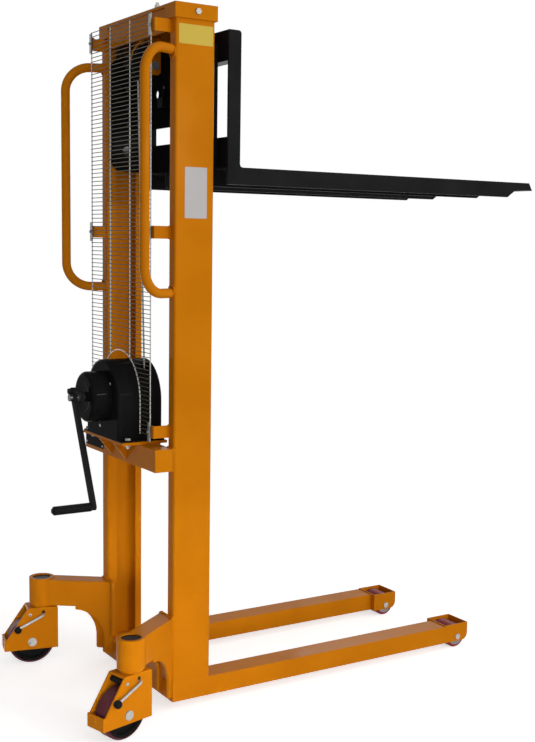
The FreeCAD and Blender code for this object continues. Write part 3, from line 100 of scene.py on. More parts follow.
lens = bpy.data.cameras.new("camera")
lens.lens = FOCAL_PIXELS / PICTURE_HEIGHT * lens.sensor_width
lens.shift_x = (PICTURE_WIDTH / 2 - LENS_MIDDLE[0]) / PICTURE_HEIGHT
lens.shift_y = (LENS_MIDDLE[1] - PICTURE_HEIGHT / 2) / PICTURE_HEIGHT
camera = bpy.data.objects.new("camera", lens)
facing = Matrix((right, up, -forward)).transposed().to_4x4()
camera.matrix_world = Matrix.Translation(CAMERA_PLACE) @ facing
bpy.context.scene.collection.objects.link(camera)
bpy.context.scene.camera = camera
bpy.context.scene.view_settings.view_transform = "Standard"
print("lens", round(lens.lens, 2), "mm")

# %% [markdown]
# ## Shader helpers
# Every finish is a small tree of nodes. Placing nodes by hand in the editor is fine for one material;
# a few short functions keep many of them readable and let the shared effects be built once.


# %% Node helpers
def shade(tree, kind, inputs=(), **settings):
    """Adds a shader node. An input gets a value, or a link when it is another node's output."""
    node = tree.nodes.new("ShaderNode" + kind)
    for setting, value in settings.items():
        setattr(node, setting, value)
    for socket, value in dict(inputs).items():
        if isinstance(value, bpy.types.NodeSocket):
            tree.links.new(value, node.inputs[socket])
        else:
            node.inputs[socket].default_value = value
    return node


def calc(tree, operation, first, second=0.0):
    """One step of arithmetic."""
    return shade(tree, "Math", {0: first, 1: second}, operation=operation).outputs[0]


def mixed(tree, share, first, second):
    """A blend of two colours; a share of one is all second colour."""
    return shade(tree, "Mix", {0: share, 6: first, 7: second}, data_type="RGBA").outputs[2]


def ranged(tree, value, low, high, from_low=0.0, from_high=1.0):
    """Maps a span of values to another span, and holds what lies outside at its ends."""
    sockets = {"Value": value, "From Min": from_low, "From Max": from_high,
               "To Min": low, "To Max": high}
    return shade(tree, "MapRange", sockets).outputs[0]


def noise(tree, place, scale, detail=3.0):
    """Cloudy noise, most of it between 0.3 and 0.7."""
    sockets = {"Vector": place, "Scale": scale, "Detail": detail}
    return shade(tree, "TexNoise", sockets).outputs["Fac"]


def stretched(tree, stretch):
    """Object coordinates, in metres, scaled by a different amount along each axis."""
    place = shade(tree, "TexCoord").outputs["Object"]
    return shade(tree, "Mapping", {"Vector": place, "Scale": stretch}).outputs[0]


# %% Groups of nodes
def new_group(name, inputs, outputs):
    """An empty group of shader nodes with named sockets; returns its tree, entry and exit."""
    tree = bpy.data.node_groups.new(name, "ShaderNodeTree")
    for socket, value in inputs.items():
        made = tree.interface.new_socket(socket, in_out="INPUT", socket_type="NodeSocketFloat")
        made.default_value = value
    for socket, kind in outputs.items():
        tree.interface.new_socket(socket, in_out="OUTPUT", socket_type="NodeSocket" + kind)
    print("effect", name)
    return tree, tree.nodes.new("NodeGroupInput"), tree.nodes.new("NodeGroupOutput")


def use_group(tree, group, **values):
    """Places a group in a material with its own values."""
    inputs = {name.capitalize(): value for name, value in values.items()}
    return shade(tree, "Group", inputs, node_tree=group)


# %% [markdown]
# ## Floor, sky and light
# The truck stands on white with soft light from its right. Stronger lamps would whiten the floor, but
# they would bleach the paint too. So the white is only what the camera sees of the sky and the floor:
# the paint keeps its own colour, and the floor its shadow.

# %% White sky
SKY_SIDE = (0.40, -0.91, -0.10)
SKY_DIM, SKY_BRIGHT = 0.04, 0.90
SKY_FROM, SKY_TO = -0.25, 0.40
SKY_TINT = (1.0, 0.99, 0.97, 1)
WHITE = (1, 1, 1, 1)

world = bpy.data.worlds.new("studio")
bpy.context.scene.world = world
world.use_nodes = True
sky = world.node_tree
sky.nodes.clear()


def seen_directly(tree):
    """One for rays from the camera, from gloss or through glass, and zero for light."""
    path = shade(tree, "LightPath")
    either = calc(tree, "MAXIMUM", path.outputs["Is Camera Ray"], path.outputs["Is Glossy Ray"])
    return calc(tree, "MAXIMUM", either, path.outputs["Is Transmission Ray"])


toward = shade(sky, "TexCoord").outputs["Generated"]
sideways = shade(sky, "VectorMath", {0: toward, 1: SKY_SIDE}, operation="DOT_PRODUCT")
sky_level = ranged(sky, sideways.outputs["Value"], SKY_DIM, SKY_BRIGHT, SKY_FROM, SKY_TO)
seen = seen_directly(sky)
lit = shade(sky, "Background", {"Color": SKY_TINT, "Strength": sky_level})
white = shade(sky, "Background", {"Color": WHITE, "Strength": 1.0})
choice = shade(sky, "MixShader", {0: seen, 1: lit.outputs[0], 2: white.outputs[0]})
shade(sky, "OutputWorld", {"Surface": choice.outputs[0]})
print("sky light", SKY_DIM, "to", SKY_BRIGHT)

# %% Pale floor
FLOOR_HALF = 40.0
FLOOR_GREY = (0.82, 0.82, 0.82, 1)
FLOOR_GLOW = 0.64
FADE_START, FADE_END = 1.1, 2.4

floor_mesh = bpy.data.meshes.new("floor")
corners = [(FLOOR_HALF * x, FLOOR_HALF * y, 0) for x, y in ((-1, -1), (1, -1), (1, 1), (-1, 1))]
floor_mesh.from_pydata(corners, [], [(0, 1, 2, 3)])
floor = bpy.data.objects.new("floor", floor_mesh)
bpy.context.scene.collection.objects.link(floor)

pale = bpy.data.materials.new("pale_floor")
pale.use_nodes = True
tree = pale.node_tree
tree.nodes.clear()
place = shade(tree, "NewGeometry").outputs["Position"]
distance = shade(tree, "VectorMath", {0: place}, operation="LENGTH").outputs["Value"]
away = ranged(tree, distance, 0.0, 1.0, FADE_START, FADE_END)
seen = seen_directly(tree)
matt = shade(tree, "BsdfDiffuse", {"Color": FLOOR_GREY})
glow_level = calc(tree, "MULTIPLY", seen, FLOOR_GLOW)
glow = shade(tree, "Emission", {"Color": WHITE, "Strength": glow_level})
near = shade(tree, "AddShader", {0: matt.outputs[0], 1: glow.outputs[0]})
far = shade(tree, "Emission", {"Color": WHITE, "Strength": 1.0})
far_share = calc(tree, "MULTIPLY", away, seen)
faded = shade(tree, "MixShader", {0: far_share, 1: near.outputs[0], 2: far.outputs[0]})
shade(tree, "OutputMaterial", {"Surface": faded.outputs[0]})
floor_mesh.materials.append(pale)
print("floor fades to white from", FADE_START, "to", FADE_END, "m")


# %% Lamps
def lamp(name, place, target, size, power, spread=180):
    """A square soft box that looks at a point; a small spread keeps its light in a beam."""
    box = bpy.data.lights.new(name, "AREA")
    box.size = size
    box.spread = math.radians(spread)
    box.energy = power
    made = bpy.data.objects.new(name, box)
    made.location = place
    made.rotation_euler = (Vector(target) - Vector(place)).to_track_quat("-Z", "Y").to_euler()
    bpy.context.scene.collection.objects.link(made)
    print(name, power, "W")


MAST_MIDDLE = (-0.45, 0, 1.1)
ARM_LEVEL = (-0.5, 0, 0.3)
CASTER_LEVEL = (-0.65, 0, 0.08)
lamp("key_light", (-0.1, -4.8, 0.6), ARM_LEVEL, size=3.2, power=50)
lamp("glint_light", (1.05, -4.0, 1.95), MAST_MIDDLE, size=0.15, power=19)
lamp("low_fill", (-2.0, -3.4, 0.15), CASTER_LEVEL, size=0.8, power=1.2, spread=20)
lamp("front_fill", (3.6, 3.4, 3.0), MAST_MIDDLE, size=2.4, power=36)
lamp("left_fill", (-0.6, 5.0, 0.9), MAST_MIDDLE, size=3.0, power=48)

# %% [markdown]
# ## Shared effects
# Paint, plating and plastic share a handful of effects: the fine pebble of a sprayed coat, light on
# the rounded edges with a lighter edge colour that is partly wear and partly painted highlight, dust
# that settles on top faces, scratches from handling and the lines a tool leaves. Each could be drawn
# again in every material. Here each is one group of nodes with its own inputs, so a change in one
# place shows on every finish.

# %% Pebbled coat
MOTTLE_SCALE = 7.0

coat_peel, entry, leave = new_group("coat_peel", {"Scale": 300.0},
                                    {"Height": "Float", "Mottle": "Float"})
place = shade(coat_peel, "TexCoord").outputs["Object"]
pebbles = noise(coat_peel, place, entry.outputs["Scale"], detail=2.0)
coat_peel.links.new(pebbles, leave.inputs["Height"])
mottle = noise(coat_peel, place, MOTTLE_SCALE, detail=4.0)
coat_peel.links.new(mottle, leave.inputs["Mottle"])

# %% Rounded edges, worn and with a painted highlight
EDGE_SAMPLES = 6
EDGE_FROM, EDGE_TO = 0.80, 0.995
RUB_SCALE = 55.0
RUB_FROM, RUB_TO = 0.42, 0.66

worn_and_highlit_edge, entry, leave = new_group("worn_and_highlit_edge", {"Radius": 0.0015, "Amount": 0.5},
                                    {"Mask": "Float", "Normal": "Vector"})
round_edge = shade(worn_and_highlit_edge, "Bevel", {"Radius": entry.outputs["Radius"]}, samples=EDGE_SAMPLES)
soft = round_edge.outputs[0]
flat = shade(worn_and_highlit_edge, "NewGeometry").outputs["Normal"]
agree = shade(worn_and_highlit_edge, "VectorMath", {0: soft, 1: flat}, operation="DOT_PRODUCT")
edge = ranged(worn_and_highlit_edge, agree.outputs["Value"], 1.0, 0.0, EDGE_FROM, EDGE_TO)
place = shade(worn_and_highlit_edge, "TexCoord").outputs["Object"]
rub = noise(worn_and_highlit_edge, place, RUB_SCALE, detail=5.0)
patchy = ranged(worn_and_highlit_edge, rub, 0.0, 1.0, RUB_FROM, RUB_TO)
# The mask marks rubbed edges, and also edges that the finishes lighten as a painted highlight.
patchy_edge = calc(worn_and_highlit_edge, "MULTIPLY", edge, patchy)
rubbed_and_highlit = calc(worn_and_highlit_edge, "MULTIPLY", patchy_edge, entry.outputs["Amount"])
worn_and_highlit_edge.links.new(rubbed_and_highlit, leave.inputs["Mask"])
worn_and_highlit_edge.links.new(soft, leave.inputs["Normal"])

# %% Settled dust
TOP_FROM, TOP_TO = 0.55, 0.98
CLOUD_SCALE, CLOUD_LEAST = 24.0, 0.15
CLOUD_FROM, CLOUD_TO = 0.35, 0.7

settled_dust, entry, leave = new_group("settled_dust", {"Amount": 0.3}, {"Mask": "Float"})
facing = shade(settled_dust, "NewGeometry").outputs["Normal"]
upward = shade(settled_dust, "SeparateXYZ", {0: facing}).outputs["Z"]
flat_top = ranged(settled_dust, upward, 0.0, 1.0, TOP_FROM, TOP_TO)
place = shade(settled_dust, "TexCoord").outputs["Object"]
clouds = noise(settled_dust, place, CLOUD_SCALE, detail=6.0)
cloudy = ranged(settled_dust, clouds, CLOUD_LEAST, 1.0, CLOUD_FROM, CLOUD_TO)
cloudy_top = calc(settled_dust, "MULTIPLY", flat_top, cloudy)
dusted = calc(settled_dust, "MULTIPLY", cloudy_top, entry.outputs["Amount"])
settled_dust.links.new(dusted, leave.inputs["Mask"])

# %% Handling scratches
SCRATCH_STRETCHES = ((14, 520, 380), (420, 18, 460))
SCRATCH_FROM, SCRATCH_TO = 0.70, 0.76
PATCH_SCALE = 5.0
PATCH_FROM, PATCH_TO = 0.45, 0.65

scratches, entry, leave = new_group("scratches", {"Amount": 0.3}, {"Mask": "Float"})
marks = []
for stretch in SCRATCH_STRETCHES:
    fine = noise(scratches, stretched(scratches, stretch), scale=1.0, detail=2.0)
    marks.append(ranged(scratches, fine, 0.0, 1.0, SCRATCH_FROM, SCRATCH_TO))
place = shade(scratches, "TexCoord").outputs["Object"]
handled = noise(scratches, place, PATCH_SCALE)
patches = ranged(scratches, handled, 0.0, 1.0, PATCH_FROM, PATCH_TO)
crossed = calc(scratches, "MULTIPLY", calc(scratches, "MAXIMUM", *marks), patches)
scratched = calc(scratches, "MULTIPLY", crossed, entry.outputs["Amount"])
scratches.links.new(scratched, leave.inputs["Mask"])

# %% Tool lines
LINE_STRETCH = (900, 900, 60)
STAIN_SCALE = 90.0

tool_lines, entry, leave = new_group("tool_lines", {"Scale": 1.0},
                                     {"Height": "Float", "Shade": "Float"})
lines = noise(tool_lines, stretched(tool_lines, LINE_STRETCH), entry.outputs["Scale"])
place = shade(tool_lines, "TexCoord").outputs["Object"]
tool_lines.links.new(lines, leave.inputs["Height"])
stains = noise(tool_lines, place, STAIN_SCALE)
tool_lines.links.new(stains, leave.inputs["Shade"])

# %% [markdown]
# ## The finishes
# Thirteen finishes cover the truck. A plain colour would do for a plan view, but paint, plating and
# rubber differ in how they scatter light. Each finish starts from a Principled shader whose even
# values sit on its own sockets. What changes over the surface, such as colour, roughness and bump,
# comes from the groups above.

# %% Finish maker
PEBBLE_DEPTH = 0.0004
SOFT_SPAN = (0.3, 0.7)
SHARP_SPAN = (0.35, 0.65)


def start_finish(name, **even):
    """A material with one Principled shader; keyword values are the same all over the surface."""
    material = bpy.data.materials.new(name)
    material.use_nodes = True
    tree = material.node_tree
    tree.nodes.clear()
    sockets = {key.replace("_", " "): value for key, value in even.items()}
    shader = shade(tree, "BsdfPrincipled", sockets)
    shade(tree, "OutputMaterial", {"Surface": shader.outputs[0]})
    print("finish", name)
    return material, tree, shader


def wire_up(tree, shader, colour, roughness, height, strength, depth=PEBBLE_DEPTH, normal=None):
    """Feeds the varying colour, roughness and bump of a finish into its shader."""
    tree.links.new(colour, shader.inputs["Base Color"])
    tree.links.new(roughness, shader.inputs["Roughness"])
    bump = shade(tree, "Bump", {"Height": height, "Strength": strength, "Distance": depth})
    if normal is not None:
        tree.links.new(normal, bump.inputs["Normal"])
    tree.links.new(bump.outputs[0], shader.inputs["Normal"])


# %% Coats of paint
ROUGH_LESS, ROUGH_MORE = 0.03, 0.06
DUST_DULL, MARK_DULL = 0.4, 0.3


def coat(name, deep, light, edge_wear_and_highlight_colour, dust_colour, rough, peel, bump, **even):
    """A sprayed coat: mottled colour, worn and painted-highlight edges, a little dust and a fine
    pebble.
    """
    material, tree, shader = start_finish(name, **even)
    pebble = use_group(tree, coat_peel, scale=peel)
    edges = use_group(tree, worn_and_highlit_edge, radius=0.0016, amount=0.45)
    dust = use_group(tree, settled_dust, amount=0.12)
    marks = use_group(tree, scratches, amount=0.25)
    mottle = pebble.outputs["Mottle"]
    colour = mixed(tree, ranged(tree, mottle, 0.0, 1.0, *SHARP_SPAN), deep, light)
    # Lighter edges: partly rubbed paint, partly a painted highlight.
    colour = mixed(tree, edges.outputs["Mask"], colour, edge_wear_and_highlight_colour)
    colour = mixed(tree, dust.outputs["Mask"], colour, dust_colour)
    roughness = ranged(tree, mottle, rough - ROUGH_LESS, rough + ROUGH_MORE, *SOFT_SPAN)
    for effect, dull in ((dust, DUST_DULL), (marks, MARK_DULL)):
        duller = calc(tree, "MULTIPLY", effect.outputs["Mask"], dull)
        roughness = calc(tree, "ADD", roughness, duller)
    wire_up(tree, shader, colour, roughness, pebble.outputs["Height"], bump,
            normal=edges.outputs["Normal"])
    return material


orange_coat = coat("orange_coat", (0.575, 0.180, 0.0025, 1), (0.63, 0.203, 0.0035, 1),
                   (0.72, 0.30, 0.03, 1), (0.42, 0.22, 0.07, 1),
                   rough=0.12, peel=320.0, bump=0.08, Specular_IOR_Level=0.022)
black_coat = coat("black_coat", (0.0085, 0.0086, 0.0090, 1), (0.0125, 0.0126, 0.0132, 1),
                  (0.060, 0.060, 0.062, 1), (0.026, 0.026, 0.025, 1),
                  rough=0.07, peel=380.0, bump=0.025, Specular_IOR_Level=0.006)
# The forks and crank arm get a lighter copy of the black coat: its raised base colour is a painted
# sheen of reflected light.
satin_black_painted_sheen = coat("satin_black_painted_sheen", (0.0145, 0.0146, 0.0152, 1), (0.0190, 0.0191, 0.0198, 1),
                   (0.070, 0.070, 0.072, 1), (0.030, 0.030, 0.029, 1),
                   rough=0.20, peel=300.0, bump=0.08, Specular_IOR_Level=0.006)

# %% Bare and plated steel
BRIGHT_EDGE = (0.86, 0.86, 0.84, 1)
SMOOTH_LESS, SMOOTH_MORE = 0.07, 0.1
LINE_BUMP, LINE_DEPTH = 0.12, 0.0002


def steel(name, dark, bright, rough, wear, **even):
    """Metal with fine tool lines, stains and brighter rubbed edges."""
    material, tree, shader = start_finish(name, **({"Metallic": 1.0} | even))
    lines = use_group(tree, tool_lines, scale=1.0)
    edges = use_group(tree, worn_and_highlit_edge, radius=0.0006, amount=wear)
    stain = lines.outputs["Shade"]
    colour = mixed(tree, ranged(tree, stain, 0.0, 1.0, *SOFT_SPAN), dark, bright)
    colour = mixed(tree, edges.outputs["Mask"], colour, BRIGHT_EDGE)
    roughness = ranged(tree, stain, rough - SMOOTH_LESS, rough + SMOOTH_MORE, *SOFT_SPAN)
    wire_up(tree, shader, colour, roughness, lines.outputs["Height"], LINE_BUMP, LINE_DEPTH,
            edges.outputs["Normal"])
    return material


zinc_plate = steel("zinc_plate", (0.36, 0.36, 0.345, 1), (0.50, 0.50, 0.48, 1),
                   rough=0.34, wear=0.5, Metallic=0.7)
turned_steel = steel("turned_steel", (0.16, 0.16, 0.155, 1), (0.27, 0.27, 0.26, 1),
                     rough=0.36, wear=0.5)
dark_steel = steel("dark_steel", (0.030, 0.030, 0.031, 1), (0.065, 0.065, 0.066, 1),
                   rough=0.14, wear=0.3, Metallic=0.3)
net_wire = steel("net_wire", (0.070, 0.062, 0.030, 1), (0.115, 0.105, 0.055, 1),
                 rough=0.45, wear=0.1, Metallic=0.08, Specular_IOR_Level=0.15)

# %% Wire rope
LAY = 0.032
STRANDS = 6
ROPE_DARK, ROPE_BRIGHT = (0.30, 0.30, 0.29, 1), (0.52, 0.52, 0.50, 1)
ROPE_GREASE = (0.07, 0.065, 0.06, 1)
ROPE_ROUGH = (0.30, 0.52)
GREASE_SCALE, GREASE_SHARE = 70.0, 0.6
STRAND_BUMP, STRAND_DEPTH = 0.4, 0.0006

rope_wire, tree, shader = start_finish("rope_wire", Metallic=1.0)
place = shade(tree, "TexCoord").outputs["Object"]
axes = shade(tree, "SeparateXYZ", {0: place})
greasy = noise(tree, place, GREASE_SCALE, detail=4.0)
along = calc(tree, "MULTIPLY", axes.outputs["Z"], math.tau * STRANDS / LAY)
twist = calc(tree, "SINE", along)
colour = mixed(tree, ranged(tree, greasy, 0.0, 1.0, *SHARP_SPAN), ROPE_DARK, ROPE_BRIGHT)
colour = mixed(tree, ranged(tree, twist, 0.0, GREASE_SHARE, 1.0, -1.0), colour, ROPE_GREASE)
roughness = ranged(tree, greasy, *ROPE_ROUGH, *SOFT_SPAN)
wire_up(tree, shader, colour, roughness, twist, STRAND_BUMP, STRAND_DEPTH)

# %% Cast treads
TREAD_DIRT = (0.17, 0.11, 0.10, 1)
TREAD_BUMP = 0.1
TREAD_ROUGH = (0.30, 0.48)


def tread(name, deep, light, scuffed):
    """A cast tread: finely pebbled, scuffed and dusty."""
    material, tree, shader = start_finish(name, Specular_IOR_Level=0.05)
    pebble = use_group(tree, coat_peel, scale=900.0)
    dust = use_group(tree, settled_dust, amount=0.25)
    marks = use_group(tree, scratches, amount=0.8)
    colour = mixed(tree, pebble.outputs["Mottle"], deep, light)
    colour = mixed(tree, marks.outputs["Mask"], colour, scuffed)
    colour = mixed(tree, dust.outputs["Mask"], colour, TREAD_DIRT)
    roughness = ranged(tree, pebble.outputs["Mottle"], *TREAD_ROUGH)
    wire_up(tree, shader, colour, roughness, pebble.outputs["Height"], TREAD_BUMP)
    return material


maroon_cast = tread("maroon_cast", (0.085, 0.018, 0.026, 1), (0.13, 0.032, 0.040, 1),
                    scuffed=(0.20, 0.10, 0.10, 1))
crimson_cast = tread("crimson_cast", (0.24, 0.026, 0.032, 1), (0.32, 0.040, 0.045, 1),
                     scuffed=(0.36, 0.12, 0.11, 1))

# %% Moulded plastic
MOULD_DEEP, MOULD_LIGHT = (0.006, 0.006, 0.0065, 1), (0.012, 0.012, 0.0125, 1)
MOULD_WORN_LIT_EDGE, MOULD_DUST = (0.06, 0.06, 0.06, 1), (0.07, 0.065, 0.06, 1)
MOULD_BUMP, SMOOTH_DEPTH = 0.12, 0.0003
MOULD_ROUGH = (0.32, 0.46)

moulded_black, tree, shader = start_finish("moulded_black", Specular_IOR_Level=0.04)
pebble = use_group(tree, coat_peel, scale=1500.0)
edges = use_group(tree, worn_and_highlit_edge, radius=0.001, amount=0.3)
dust = use_group(tree, settled_dust, amount=0.3)
colour = mixed(tree, pebble.outputs["Mottle"], MOULD_DEEP, MOULD_LIGHT)
# Lighter edges: partly wear, partly a painted highlight.
colour = mixed(tree, edges.outputs["Mask"], colour, MOULD_WORN_LIT_EDGE)
colour = mixed(tree, dust.outputs["Mask"], colour, MOULD_DUST)
roughness = ranged(tree, pebble.outputs["Mottle"], *MOULD_ROUGH)
wire_up(tree, shader, colour, roughness, pebble.outputs["Height"], MOULD_BUMP, SMOOTH_DEPTH,
        edges.outputs["Normal"])

# %% Sticker film
FILM_BUMP = 0.06
FILM_ROUGH = (0.34, 0.50)


def film(name, deep, light):
    """Blank sticker film, a little uneven and satin."""
    material, tree, shader = start_finish(name, Specular_IOR_Level=0.2)
    pebble = use_group(tree, coat_peel, scale=140.0)
    colour = mixed(tree, pebble.outputs["Mottle"], deep, light)
    roughness = ranged(tree, pebble.outputs["Mottle"], *FILM_ROUGH)
    wire_up(tree, shader, colour, roughness, pebble.outputs["Height"], FILM_BUMP, SMOOTH_DEPTH)
    return material


yellow_film = film("yellow_film", (0.60, 0.42, 0.050, 1), (0.68, 0.49, 0.065, 1))
pale_film = film("pale_film", (0.46, 0.44, 0.44, 1), (0.54, 0.52, 0.52, 1))

# %% [markdown]
# ## Dressing the solids
# Each solid is one painted, plated or moulded piece of the truck. Finishes could be set one by one,
# but the record names a finish for each solid, so one loop dresses them all. Setting the material on
# the object's slot leaves the solid's own mesh as it is.

# %% Finish every solid
FINISHES = {
    "orange_paint": orange_coat, "black_paint": black_coat, "zinc_steel": zinc_plate,
    "wire_rope": rope_wire, "machined_steel": turned_steel, "maroon_tread": maroon_cast,
    "black_plastic": moulded_black,
}
SLOT_OF = {finish.name: slot for slot, finish in FINISHES.items()}
SLOT_OF |= {finish.name: "zinc_steel" for finish in (dark_steel, net_wire)}
SLOT_OF |= {finish.name: "orange_paint" for finish in (yellow_film, pale_film)}
SPECIAL = {
    "crank_shaft": dark_steel, "carriage_pins": dark_steel, "guard_clamps": turned_steel,
    "top_pulley": black_coat, "right_fork": satin_black_painted_sheen, "left_fork": satin_black_painted_sheen,
    "crank_arm": satin_black_painted_sheen, "right_load_roller": crimson_cast, "left_load_roller": crimson_cast,
}

for row in frame["record"]["subparts"]:
    solid = frame["nodes"][row["node"]]
    finish = SPECIAL.get(row["node"], FINISHES[row["material_slot"]])
    if not solid.material_slots:
        solid.data.materials.append(finish)
    for holder in solid.material_slots:
        holder.link = "OBJECT"
        holder.material = finish

# %% [markdown]
# ## Building pieces
# Most added pieces are long and round: wires, rope, rods and weld beads. Curves with a bevel would do,
# but a skin over rings of points lets one function make a plain wire, a stranded rope or a rippled
# bead, and gives clean closed meshes. A second function turns an outline round an axis, as on a
# lathe.


# %% Skins and sweeps
def skin(form, rings, loop=False):
    """Faces between neighbouring rings of points. End rings are closed, or joined if they loop."""
    rows = [[form.verts.new(point) for point in ring] for ring in rings]
    nexts = rows[1:] + rows[:1] if loop else rows[1:]
    for low, high in zip(rows, nexts):
        for k, corner in enumerate(low):
            beside = (k + 1) % len(low)
            form.faces.new((corner, low[beside], high[beside], high[k]))
    if not loop:
        form.faces.new(rows[0][::-1])
        form.faces.new(rows[-1])


def sweep(form, points, radius, sides=10):
    """A round bar along points; radius is a number, or a function of distance and angle."""
    across = None
    gone = 0.0
    rings = []
    last = len(points) - 1
    for k, point in enumerate(points):
        tangent = (points[min(k + 1, last)] - points[max(k - 1, 0)]).normalized()
        across = across or tangent.orthogonal()
        across = (across - tangent * across.dot(tangent)).normalized()
        over = tangent.cross(across)
        gone += (point - points[max(k - 1, 0)]).length
        ring = []
        for step in range(sides):
            turn = math.tau * step / sides
            size = radius(gone, turn) if callable(radius) else radius
            ring.append(point + (across * math.cos(turn) + over * math.sin(turn)) * size)
        rings.append(ring)
    skin(form, rings)


# %% Lathes and plates
def lathe(form, outline, centre, axis, loop=False, steps=48):
    """Turns an outline of (along, radius) pairs, in millimetres, round an axis."""
    axis = axis.normalized()
    across = axis.orthogonal().normalized()
    over = axis.cross(across)
    turns = [math.tau * k / steps for k in range(steps)]
    skin(form, [[centre + (axis * along + (across * math.cos(t) + over * math.sin(t)) * radius) * MM
                 for t in turns] for along, radius in outline], loop)


def slab(form, outline, push):
    """A flat plate: an outline of points, pushed by a vector in millimetres."""
    skin(form, [outline, [point + push * MM for point in outline]])


# %% Finished pieces
CREASE = math.radians(38)


def piece(name, form, body, finish):
    """Turns a form into a smooth-shaded piece with creased edges, which rides on a body."""
    bmesh.ops.recalc_face_normals(form, faces=form.faces)
    mesh = bpy.data.meshes.new(name)
    form.to_mesh(mesh)
    form.free()
    mesh.shade_smooth()
    mesh.set_sharp_from_angle(angle=CREASE)
    mesh.materials.append(finish)
    made = bpy.data.objects.new(name, mesh)
    bpy.context.scene.collection.objects.link(made)
    if body:
        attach(made, body)
    print(name, len(mesh.polygons), "faces")
    return made


# %% Lines and arcs
def line(start, end, step):
    """Points from start to end, no further apart than a step in millimetres."""
    count = max(1, math.ceil((end - start).length / (step * MM)))
    return [start.lerp(end, k / count) for k in range(count + 1)]


def arc(centre, first, second, start, end, count):
    """Points round a centre: first is the direction and size at 0 degrees, second at 90 degrees."""
    turns = [math.radians(start + (end - start) * k / count) for k in range(count + 1)]
    return [centre + first * math.cos(t) + second * math.sin(t) for t in turns]


# %% [markdown]
# ## The wire guard
# A welded net keeps hands out of the mast: four upright wires carry thin cross wires, and an arch of
# the thicker wire leaves room for the winch. The solid is a flat holed sheet, and a net could be
# painted on it; round wires catch light along their length, so each wire is swept, and the cross
# wires stop at the arch.

# %% Guard wires
COLUMN_RADIUS = 1.8
CROSS_RADIUS = 1.25
CROSS_PITCH = 12.5
INNER_COLUMN = 69
ARCH_RADIUS = 140
ARCH_HEIGHT = 917
ARCH_STEPS = 40
COLUMN_STEP = 60
CROSS_SET = 0.7
CROSS_SIDES = 6

(guard_back, guard_front), (_, guard_edge), (guard_foot, guard_top) = span("guard_mesh")
guard_plane = (guard_back + guard_front) / 2
cross_plane = guard_plane - COLUMN_RADIUS * CROSS_SET
outer_column = guard_edge - COLUMN_RADIUS


def arch_half(height):
    """Half the arch's width at a height; zero above it."""
    above = max(0.0, height - ARCH_HEIGHT)
    return math.sqrt(max(0.0, ARCH_RADIUS ** 2 - above ** 2))


form = bmesh.new()
arch_meet = ARCH_HEIGHT + math.sqrt(ARCH_RADIUS ** 2 - INNER_COLUMN ** 2)
for side, foot in ((outer_column, guard_foot), (INNER_COLUMN, arch_meet)):
    for sign in (-1, 1):
        low, high = (at(guard_plane, sign * side, height) for height in (foot, guard_top))
        sweep(form, line(low, high, COLUMN_STEP), COLUMN_RADIUS * MM)
legs = [at(guard_plane, sign * ARCH_RADIUS, guard_foot) for sign in (1, -1)]
across, above = Vector((0, ARCH_RADIUS * MM, 0)), Vector((0, 0, ARCH_RADIUS * MM))
bow = arc(at(guard_plane, 0, ARCH_HEIGHT), across, above, 0, 180, ARCH_STEPS)
sweep(form, legs[:1] + bow + legs[1:], COLUMN_RADIUS * MM)
guard_wires = piece("guard_wires", form, "frame", zinc_plate)
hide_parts("guard_mesh")

# %% Cross wires
form = bmesh.new()
rows = int((guard_top - guard_foot) / CROSS_PITCH)
for row in range(rows + 1):
    height = guard_top - CROSS_RADIUS - row * CROSS_PITCH
    gap = arch_half(height)
    stretches = [(-guard_edge, -gap), (gap, guard_edge)] if gap else [(-guard_edge, guard_edge)]
    for stretch in stretches:
        ends = [at(cross_plane, side, height) for side in stretch]
        sweep(form, ends, CROSS_RADIUS * MM, CROSS_SIDES)
piece("guard_cross_wires", form, "frame", net_wire)

# %% [markdown]
# ## The lift rope
# A six-strand wire rope climbs from the drum, goes over the top pulley and drops to the carriage. Its
# lay is what makes it read as rope, so the run is swept with six lobes that turn along the length.
# On the truck the drop grows as the carriage sinks; here it is a plain tube, tied to neither body,
# whose strands come from the finish.

# %% Rope run
ROPE_RADIUS = 3.0
ROPE_STEP, ROPE_SIDES = 2.2, 24
STRAND_VALLEY, STRAND_SWELL = 0.84, 0.16
PULLEY_STEPS = 60
DRUM_EXIT = at(0, -61.3, 919)
(_, fall_front), _, (fall_foot, fall_top) = span("rope_fall")
(pulley_back, pulley_front), _, _ = span("top_pulley")
pulley_middle = (pulley_back + pulley_front) / 2
rope_round = fall_front - ROPE_RADIUS - pulley_middle


def strands(gone, turn):
    """The rope's outline: six round strands, turning once in each lay."""
    swell = abs(math.cos((turn - gone * math.tau / LAY) * STRANDS / 2))
    return ROPE_RADIUS * MM * (STRAND_VALLEY + STRAND_SWELL * swell)


pulley_centre = at(pulley_middle, 0, fall_top)
behind, above = Vector((-rope_round * MM, 0, 0)), Vector((0, 0, rope_round * MM))
over_pulley = arc(pulley_centre, behind, above, 0, 180, PULLEY_STEPS)
form = bmesh.new()
climb = line(DRUM_EXIT, over_pulley[0], ROPE_STEP)
sweep(form, climb[:-1] + over_pulley, strands, ROPE_SIDES)
lift_rope = piece("lift_rope", form, "frame", rope_wire)
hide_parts("rope_run")

# %% Rope drop
DROP_SHARE = 0.95
DROP_STEP, DROP_SIDES = 2, 16

drop_top, drop_foot = over_pulley[-1], at(pulley_middle + rope_round, 0, fall_foot)
form = bmesh.new()
sweep(form, line(drop_top, drop_foot, DROP_STEP), ROPE_RADIUS * DROP_SHARE * MM, DROP_SIDES)
rope_drop = piece("rope_drop", form, None, rope_wire)
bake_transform(rope_drop)
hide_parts("rope_fall")

# %% Turns on the drum
TURN_GAP = 0.3
TURN_STEPS, TURN_SIDES = 40, 12

